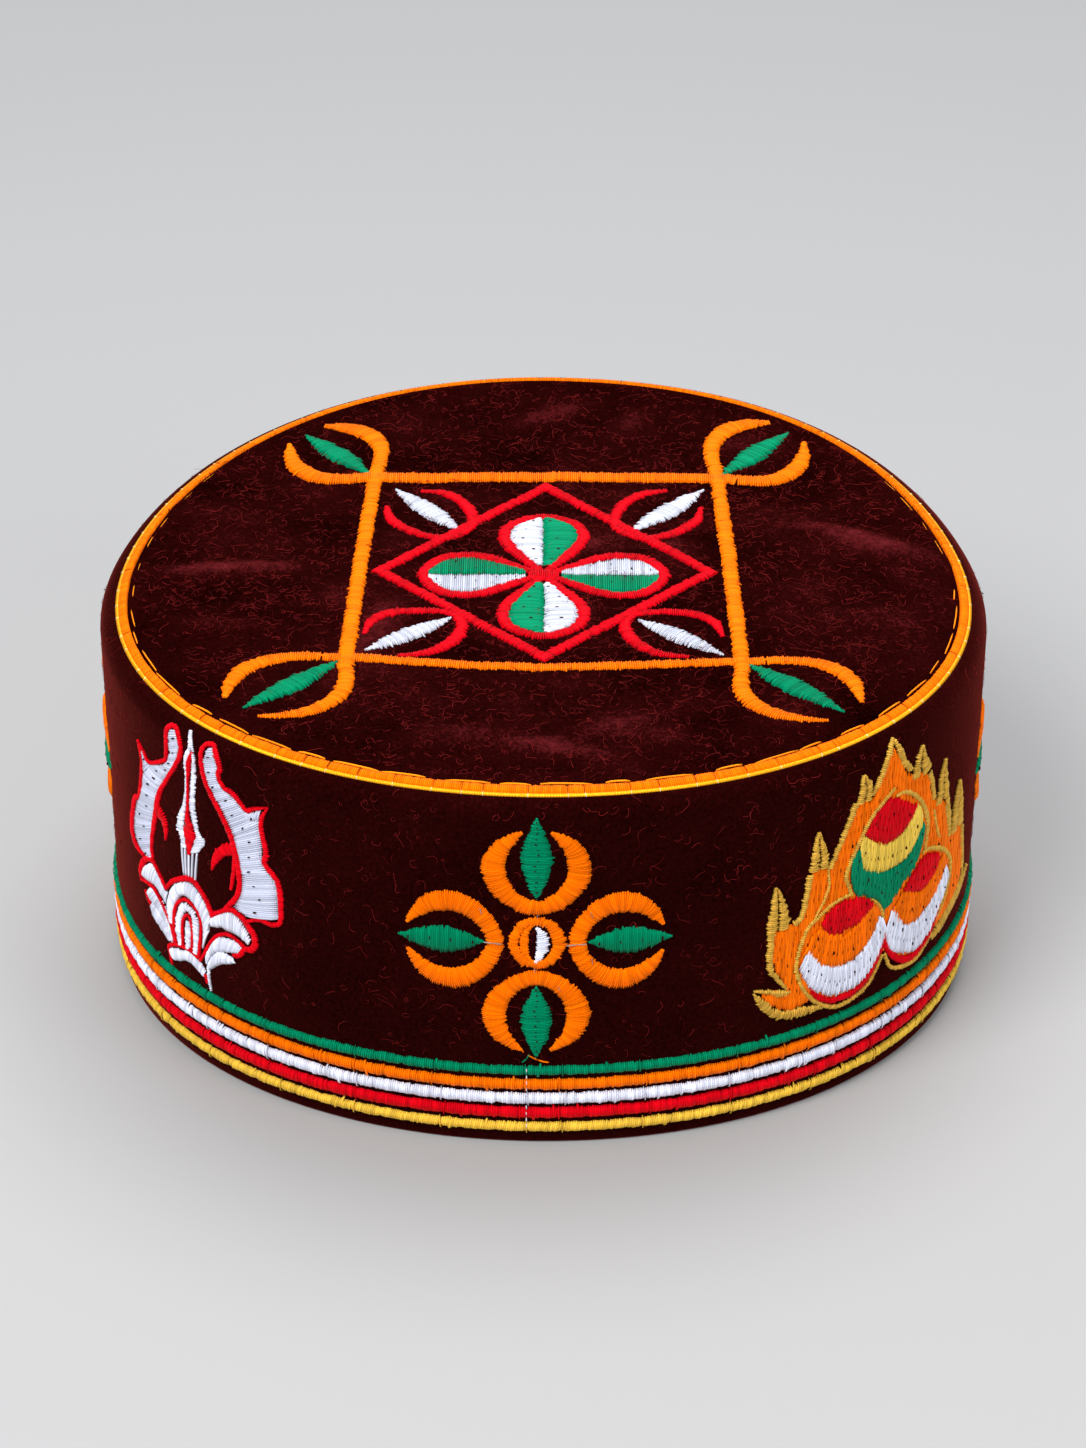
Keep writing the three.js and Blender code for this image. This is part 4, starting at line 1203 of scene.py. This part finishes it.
# Lines of the lotus: across, up, width
LOTUS_WHITE_LINES = [
    [(-3.5, 26, 1.5), (-4, 29.5, 1.9), (-3.5, 33, 1.9), (-1.5, 36.5, 1.7), (0.5, 36.5, 1.8),
     (2, 35, 1.9), (2, 31.5, 1.8), (1.5, 26.5, 1.3)],
    [(-1, 26.5, 1.2), (-0.5, 31, 2), (-0.5, 33.5, 1)],
    [(5.5, 25.5, 0.9), (5.5, 22.5, 0.6), (6, 19.5, 0.3)],
]
LOTUS_RED_LINES = [
    [(-16.5, 41, 0.9), (-21, 41.5, 1.5), (-22.5, 44.5, 1.6), (-20, 52.5, 1.5), (-17, 55.5, 1.1),
     (-15, 63, 0.9), (-15, 66, 0.9), (-16, 69, 0.3)],
    [(-16, 69, 0.3), (-14, 67.5, 0.9), (-11.5, 66, 0.9), (-6, 69, 1), (-4.5, 71, 1.1),
     (-4, 77, 1.3), (-2.5, 78.5, 1.1), (-1, 78, 1.1), (0.5, 76, 1.3), (0, 72.5, 1.3),
     (-5, 65, 1.1), (-8, 60.5, 1.4), (-10, 55, 1.6), (-12.5, 46.5, 1.1), (-12.5, 42.5, 0.9)],
    [(-9.5, 56, 3), (-7.5, 55, 2.8), (-6.5, 53, 1.7), (-6.5, 50, 0.3)],
    [(11.5, 42, 1.1), (15, 46.5, 1.3), (16, 51, 1.4), (15, 58, 1.4), (12.5, 63.5, 1.4),
     (8.5, 69, 1.3), (7, 73, 1.3), (7, 77.5, 1.1), (8.5, 79, 1.1), (10, 78.5, 1.1),
     (12, 75.5, 1.4), (11.5, 73, 1.1), (13, 71, 1.1), (15.5, 70.5, 1.3), (18.5, 68, 1),
     (20.5, 69, 0.9), (24, 70.5, 0.3)],
    [(24, 70.5, 0.3), (22.5, 68, 0.9), (22, 65, 1.1), (23, 59.5, 1.3), (22.5, 57, 1.3),
     (25.5, 53.5, 1.3), (26, 47, 1.3), (25.5, 44, 1.1), (23.5, 43, 1.1), (20.5, 43, 0.9),
     (17.5, 41.5, 0.8)],
    [(15, 57.5, 3), (12.5, 56.5, 2.6), (10.5, 54.5, 2.2), (9, 52, 1.4), (8.5, 50, 0.3)],
    [(15, 56.5, 0.9), (14.5, 52, 1.1), (13.5, 47.5, 0.8)],
    [(-19, 34.5, 0.9), (-19, 36.5, 1.4), (-17, 39.5, 1.6), (-14.5, 41.5, 1.5), (-12, 41.5, 1.3),
     (-7.5, 37.5, 0.9)],
    [(-19, 34, 0.8), (-15, 35, 0.9), (-11.5, 34.5, 0.9), (-7, 30, 0.9), (-5.5, 26, 0.8)],
    [(-17, 32.5, 0.7), (-16, 31, 0.8), (-14.5, 30, 0.6)],
    [(-7.5, 38, 0.9), (-5.5, 40.5, 1.1), (-2, 43, 1.3), (1.5, 44.5, 1.4), (4, 43.5, 1.4),
     (6, 41.5, 1.5), (7.5, 39, 1.5)],
    [(-5, 25.5, 0.8), (-5.5, 29, 0.9), (-5, 33.5, 0.9), (-3.5, 36.5, 0.9), (-1, 38.5, 0.9),
     (1, 38.5, 0.9), (3, 37.5, 0.9), (4, 35, 0.9), (3.5, 31, 0.9), (2.5, 26, 0.9)],
    [(-2.5, 26.5, 0.8), (-2.5, 30, 0.8), (-2, 33, 0.8), (-0.5, 35, 0.8), (0.5, 34.5, 0.8),
     (1, 32, 0.8), (0.5, 27, 0.8)],
    [(-7, 19.5, 0.3), (-7.5, 22, 0.9), (-8, 23.5, 0.9), (-5, 25.5, 0.9), (-0.5, 26.5, 0.9),
     (2.5, 26, 0.9)],
    [(7, 38.5, 1.1), (10.5, 41, 1.1), (13, 42.5, 1.3), (15.5, 42, 1.5), (17.5, 40.5, 1.6),
     (19, 38.5, 1.6), (19, 36, 1.6), (17, 34.5, 1.4), (15, 35.5, 0.9), (12, 36, 0.9),
     (9, 34.5, 0.9), (6.5, 31.5, 0.9), (4.5, 28, 0.9), (3, 25.5, 0.7)],
    [(16.5, 34.5, 1.1), (14.5, 32, 1.3), (13, 31.5, 0.6)],
    [(4.5, 23, 1.1), (5, 21, 0.5)],
    [(4.5, 76, 0.5), (3, 72.5, 1.5), (2.5, 68.5, 0.7), (2, 62.5, 0.9), (1.5, 59, 1.5),
     (2, 57, 3.3), (2, 56, 4.1), (1.5, 53.5, 2.5), (1.5, 50.5, 0.8)],
]


def lotus(name, across):
    """A lotus of white petals with two silver horns and a spear, in red outlines."""
    place = moved(across, 0, on_wall)
    silver = ThreadWork(f"{name}_silver", "silver", [name])
    white = ThreadWork(f"{name}_white", "white")
    red = ThreadWork(f"{name}_red", "red")
    dark = ThreadWork(f"{name}_slits", "dark")
    for rungs in LOTUS_HORNS:
        silver.column(ladder_rails(rungs), place, rise=0.4, grow=0.3, depth=0.2)
        dark.slits(ladder_rails(rungs), place, gap=3.2, lift=0.45, spread=0.15)
    for rungs in LOTUS_PETALS:
        white.column(ladder_rails(rungs), place, rise=0.45, ragged=0.1, grow=0.25)
    for rungs in LOTUS_SPEAR:
        white.column(ladder_rails(rungs), place, rise=0.35, ragged=0.2)
    for top, bottom in LOTUS_SHAFT:
        white.line([(top, SHAFT_TOP), (bottom, SHAFT_BOTTOM)], place, width=0.75)
    for path in LOTUS_WHITE_LINES:
        white.stroke(path, place, rise=0.4)
    for path in LOTUS_RED_LINES:
        red.stroke(path, place, rise=0.4, lift=0.1, ragged=0.09, depth=0.24)
    for work in (silver, white, red, dark):
        work.finish()


# Three jewels in a flame. Areas are rows: across, low, high. Lines are across, up, width

FLAMES = [("front_right", 76), ("back_left", -218)]
FLAME_TAIL = [(-31, 29.5, 30.5), (-28.5, 26.5, 30), (-25.5, 24.5, 29.5), (-23, 24, 29.5)]
FLAME_FILL = [
    (-29.5, 37, 44), (-26, 31, 45), (-24.5, 25, 45), (-22, 24.5, 47), (-20, 25, 56.5),
    (-16.5, 24, 55.5), (-13, 23, 62.5), (-9.5, 23, 68.5), (-6, 23.5, 68), (-3, 26.5, 74),
    (-1, 29, 77), (1.5, 28, 74), (4.5, 25, 69), (11, 23, 66), (14, 24, 59), (17, 24.5, 57),
    (20.5, 25, 54), (23, 25, 46), (28.5, 26, 45.5), (31.5, 28, 42), (33, 30, 34),
]
# Tips of the flame, each worked in two halves: shift and width of a half, as shares of the tip's
HALF_SHIFT, HALF_SHARE = 0.27, 0.46
FLAME_TIPS = [
    [(-28, 44.5, 5.2), (-28, 48, 4.4), (-28.5, 53, 2), (-29, 55, 0.4)],
    [(-19, 56, 4.5), (-19, 59, 3.9), (-19.5, 63.5, 1.6), (-19.5, 65, 0.4)],
    [(-8.5, 68, 3.8), (-8, 71, 3.3), (-8.5, 72.5, 2.4), (-9, 74.5, 0.6)],
    [(9, 67, 7.4), (8.5, 69.5, 5), (8.5, 71.5, 3), (8.5, 74, 0.5)],
    [(18.5, 56, 5.6), (18.5, 59, 4.3), (18, 62.5, 2.7), (18.5, 66, 0.5)],
    [(27.5, 44.5, 7.2), (27.5, 47.5, 6), (27, 52, 4.2), (27, 56.5, 0.6)],
]
# Gold edges, and the share of the drawn width that they are worked to
EDGE_SHARE = 0.85
FLAME_GOLD = [
    [(-33, 31.5, 0.4), (-30, 30.5, 1.2), (-26.5, 29, 1.9), (-24.5, 29, 0.4)],
    [(-33, 31, 0.5), (-31, 28, 2), (-28.5, 25, 2.4), (-25, 23.5, 2.4), (-21, 23, 2.3),
     (-16.5, 22.5, 1.4)],
    [(-25.5, 30, 0.8), (-28.5, 34, 1.3), (-29.5, 36.5, 1.6), (-29.5, 44.5, 1.8)],
    [(-24.5, 45, 1.5), (-22.5, 46.5, 1.4), (-21, 55.5, 1.5)],
    [(-16.5, 55.5, 1.3), (-14, 60.5, 1.4), (-10.5, 68.5, 1.8)],
    [(-6.5, 69, 1.4), (-5, 70.5, 1.5), (-2.5, 75.5, 1.5), (-1.5, 77.5, 1.6), (0, 79, 0.7)],
    [(0, 78.5, 1), (1, 76, 1.6), (2.5, 73, 1.7), (5, 70, 1.7)],
    [(12, 66, 1.6), (13.5, 62.5, 1.5), (14.5, 58.5, 1.4)],
    [(20.5, 56, 1.5), (22, 51.5, 1.5), (23, 46.5, 1.3)],
    [(30.5, 43.5, 1.7), (33, 34, 1.7), (33.5, 30.5, 1.4)],
    [(18, 23, 2), (23, 24, 3.6), (28.5, 26, 4.4), (34, 27.5, 3.6), (38, 29.5, 0.6)],
    [(-17, 56, 0.4), (-16.5, 51.5, 0.8), (-17.5, 48.5, 0.8), (-19.5, 45, 0.6)],
    [(14.5, 56, 0.6), (16, 52, 0.9), (18, 47.5, 0.6)],
    [(20, 54, 0.6), (22, 48.5, 1), (23, 45, 0.7)],
]
JEWEL_GOLD = [
    [(-10.5, 47, 0.8), (-12, 51, 0.9), (-12, 53.5, 1), (-8.5, 60.5, 1), (-5.5, 64.5, 1),
     (0, 68, 0.8)],
    [(0.5, 66, 0.8), (3.5, 65.5, 0.9), (7, 63, 1), (10, 59.5, 1.1), (12, 55.5, 1.2),
     (12.5, 52, 1.2), (12, 48, 0.9)],
    [(-0.5, 28.5, 0.8), (-4, 23.5, 1), (-8.5, 21.5, 1.1), (-14, 21.5, 1), (-19.5, 25.5, 0.9),
     (-22.5, 30.5, 0.9), (-23.5, 35.5, 0.9), (-21.5, 42.5, 0.9), (-18.5, 45, 0.9), (-15, 47, 0.8),
     (-10.5, 47.5, 0.7)],
    [(-5, 44, 0.6), (-3, 42, 0.7), (-1.5, 39.5, 0.8), (-1, 37.5, 0.6)],
    [(0, 28.5, 0.7), (2.5, 24, 0.9), (7, 22, 1.1), (11.5, 21.5, 1.2), (15, 23, 1.2), (18, 24.5, 1)],
    [(11, 47.5, 0.7), (14, 47, 0.9), (19.5, 44, 1), (24, 39.5, 1.1), (25, 35, 1.2), (23, 30, 1.1),
     (19, 27, 0.8)],
]
JEWEL_AREAS = {
    "red": [
        [(-8, 60, 60.5), (-6, 58.5, 63.5), (-3, 56.5, 65.5), (-0.5, 55.5, 66), (3.5, 56.5, 63.5),
         (6, 58, 61.5), (7.5, 60, 61)],
        [(-18, 42.5, 43.5), (-16, 40, 45.5), (-13.5, 39, 46.5), (-9, 39.5, 46), (-6, 40.5, 44.5),
         (-4.5, 42, 43)],
        [(5, 41, 41.5), (9, 39, 45), (12.5, 38, 46), (17, 39.5, 44.5), (18.5, 42, 42.5)],
    ],
    "yellow": [
        [(-9, 57, 59), (-8, 52.5, 60), (-4.5, 50, 57), (0, 49, 55.5), (5, 49, 57), (8, 51.5, 60.5),
         (10, 54.5, 57.5)],
    ],
    "green": [
        [(-11, 52, 56), (-10.5, 49, 56.5), (-9, 46.5, 57), (-8, 46, 52.5), (-5.5, 44.5, 51),
         (-3, 42.5, 49.5), (-1, 39.5, 49), (0.5, 40, 49), (4, 43, 49), (7.5, 45, 51),
         (10, 48, 54.5), (11, 52, 55)],
    ],
    "orange": [
        [(-21.5, 37.5, 39), (-19, 34.5, 42), (-15, 31.5, 39.5), (-11, 31, 38.5), (-8, 32, 39.5),
         (-5, 34, 42.5), (-3, 37.5, 41)],
        [(2, 38, 39), (4.5, 34, 41), (9, 31.5, 39), (12.5, 32, 38), (17.5, 34, 40), (20.5, 37, 42),
         (22.5, 39, 39.5)],
    ],
    "white": [
        [(-22, 34, 37.5), (-20.5, 30.5, 37), (-18.5, 27.5, 34), (-15, 25, 32), (-11, 24, 31),
         (-7.5, 24.5, 32), (-4.5, 26.5, 34.5), (-2, 30.5, 38), (-0.5, 34, 38)],
        [(0.5, 34, 38), (2, 29, 38), (4.5, 27, 34), (6.5, 25.5, 32.5), (11, 24, 31.5),
         (16, 25.5, 33.5), (20, 29.5, 36.5), (22.5, 33, 39), (23.5, 35, 38)],
    ],
}
# How far the stitches of a colour fan out towards the bottom of the jewel
JEWEL_FANS = {"orange": 0.06, "white": 0.08}
JEWEL_RIMS = [
    [(-20, 28.5, 0.4), (-18.5, 26, 1.1), (-15, 23.5, 1.4), (-12.5, 23, 1.5), (-8.5, 23, 1.6),
     (-5, 24.5, 1.6), (-2.5, 28, 1.6), (-0.5, 31.5, 1.3), (-0.5, 34, 0.5)],
    [(-0.5, 33.5, 0.5), (0.5, 30, 1.2), (4, 25.5, 1.5), (8.5, 23, 1.7), (12, 23, 1.8),
     (17, 25, 1.7), (20, 29, 0.8)],
]


def flame(name, across):
    """An orange flame with gold tips and edges, and three banded jewels worked over it."""
    place = moved(across, 0, on_wall)
    works = {
        "orange": ThreadWork(f"flame_{name}_orange", "orange", [f"flame_{name}"]),
        "dull_gold": ThreadWork(f"flame_{name}_gold", "dull_gold"),
        "red": ThreadWork(f"jewels_{name}_red", "red", [f"jewel_{name}_left", f"jewel_{name}_right"]),
        "green": ThreadWork(f"jewels_{name}_green", "green", [f"jewel_{name}_top"]),
        "yellow": ThreadWork(f"jewels_{name}_yellow", "yellow"),
        "white": ThreadWork(f"jewels_{name}_white", "white"),
        "dark": ThreadWork(f"flame_{name}_slits", "dark"),
    }
    for rows in (FLAME_TAIL, FLAME_FILL):
        works["orange"].filling(row_rails(rows), place)
    works["dark"].slits(row_rails(FLAME_FILL), place, gap=2, lift=0.4, spread=0.45)
    for tip in FLAME_TIPS:
        for side in (-1, 1):
            half = [(x + side * HALF_SHIFT * width, up, HALF_SHARE * width) for x, up, width in tip]
            works["dull_gold"].stroke(half, place, rise=0.4, lift=0.25, ragged=0.2)
    for path in FLAME_GOLD:
        edge = [(x, up, EDGE_SHARE * width) for x, up, width in path]
        works["dull_gold"].stroke(edge, place, rise=0.4, lift=0.25, ragged=0.2)
    for path in JEWEL_GOLD:
        works["dull_gold"].stroke(path, place, rise=0.3, lift=UPPER_LAYER)
    for colour, areas in JEWEL_AREAS.items():
        for rows in areas:
            rails = row_rails(rows, JEWEL_FANS.get(colour, 0))
            works[colour].filling(rails, place, lift=UPPER_LAYER)
            works["dark"].slits(rails, place, gap=5, lift=UPPER_LAYER + 0.42, spread=0.3)
    for path in JEWEL_RIMS:
        works["red"].stroke(path, place, rise=0.3, lift=UPPER_LAYER)
    for work in works.values():
        work.finish()


# Stage

FLOOR_REACH = 4000
FLOOR_RAMP = [(0.0, (0.36, 0.357, 0.352)), (1.0, (0.40, 0.397, 0.392))]
SKY_COLOUR = (0.86, 0.9, 1.0, 1)
SKY_STRENGTH = 0.52
# Lights: name, place, target, size, power
LIGHTS = [
    ("key_light", (-0.65, -0.85, 1.25), (0, 0, 0.04), 0.9, 25),
    ("top_light", (0.1, 0.45, 1.4), (0, 0, 0.05), 1.0, 15),
    ("fill_light", (1.0, -0.8, 0.6), (0, 0, 0.04), 0.8, 6.5),
]


def stage():
    """A wide pale floor."""
    floor_material, tree, shader = new_material("pale_floor")
    noise = add_node(tree, "ShaderNodeTexNoise", "Fac", Scale=3, Detail=4)
    set_node(shader, Base_Color=add_ramp(tree, noise, FLOOR_RAMP), Roughness=0.7)
    corners = FLOOR_REACH * np.array([(-1, -1, 0), (1, -1, 0), (1, 1, 0), (-1, 1, 0)])
    floor = add_mesh("floor", corners, [(0, 1, 2), (0, 2, 3)], floor_material, smooth=False)


def softbox(name, place, target, size, power):
    data = bpy.data.lights.new(name, "AREA")
    data.shape = "DISK"
    data.size = size
    data.energy = power
    light = bpy.data.objects.new(name, data)
    light.location = place
    light.rotation_euler = (Vector(target) - Vector(place)).to_track_quat("-Z", "Y").to_euler()
    bpy.context.scene.collection.objects.link(light)


def lights():
    world = bpy.data.worlds.new("studio")
    world.use_nodes = True
    set_node(world.node_tree.nodes["Background"], Color=SKY_COLOUR, Strength=SKY_STRENGTH)
    bpy.context.scene.world = world
    for light in LIGHTS:
        softbox(*light)


def camera():
    data = bpy.data.cameras.new("camera")
    data.lens = CAMERA_LENS
    data.sensor_width = SENSOR_WIDTH
    eye = bpy.data.objects.new("camera", data)
    turn = Euler((math.pi / 2 - CAMERA_PITCH, 0, 0)).to_matrix() @ Matrix.Rotation(CAMERA_ROLL, 3, "Z")
    eye.matrix_world = Matrix.Translation(CAMERA_PLACE) @ turn.to_4x4()
    bpy.context.scene.collection.objects.link(eye)
    bpy.context.scene.camera = eye
    bpy.context.scene.view_settings.view_transform = "Standard"


velvet_band()
velvet_crown()
fibres()
seam_ring()
seam_cord()
running_stitches()
for stripe_colour in STRIPES:
    stripe(stripe_colour)
front_line()
crown_frame()
crown_diamond()
crown_flower()
for cross_name, cross_across in CROSSES:
    cross(cross_name, cross_across)
for lotus_name, lotus_across in LOTUSES:
    lotus(lotus_name, lotus_across)
for flame_name, flame_across in FLAMES:
    flame(flame_name, flame_across)
stage()
lights()
camera()
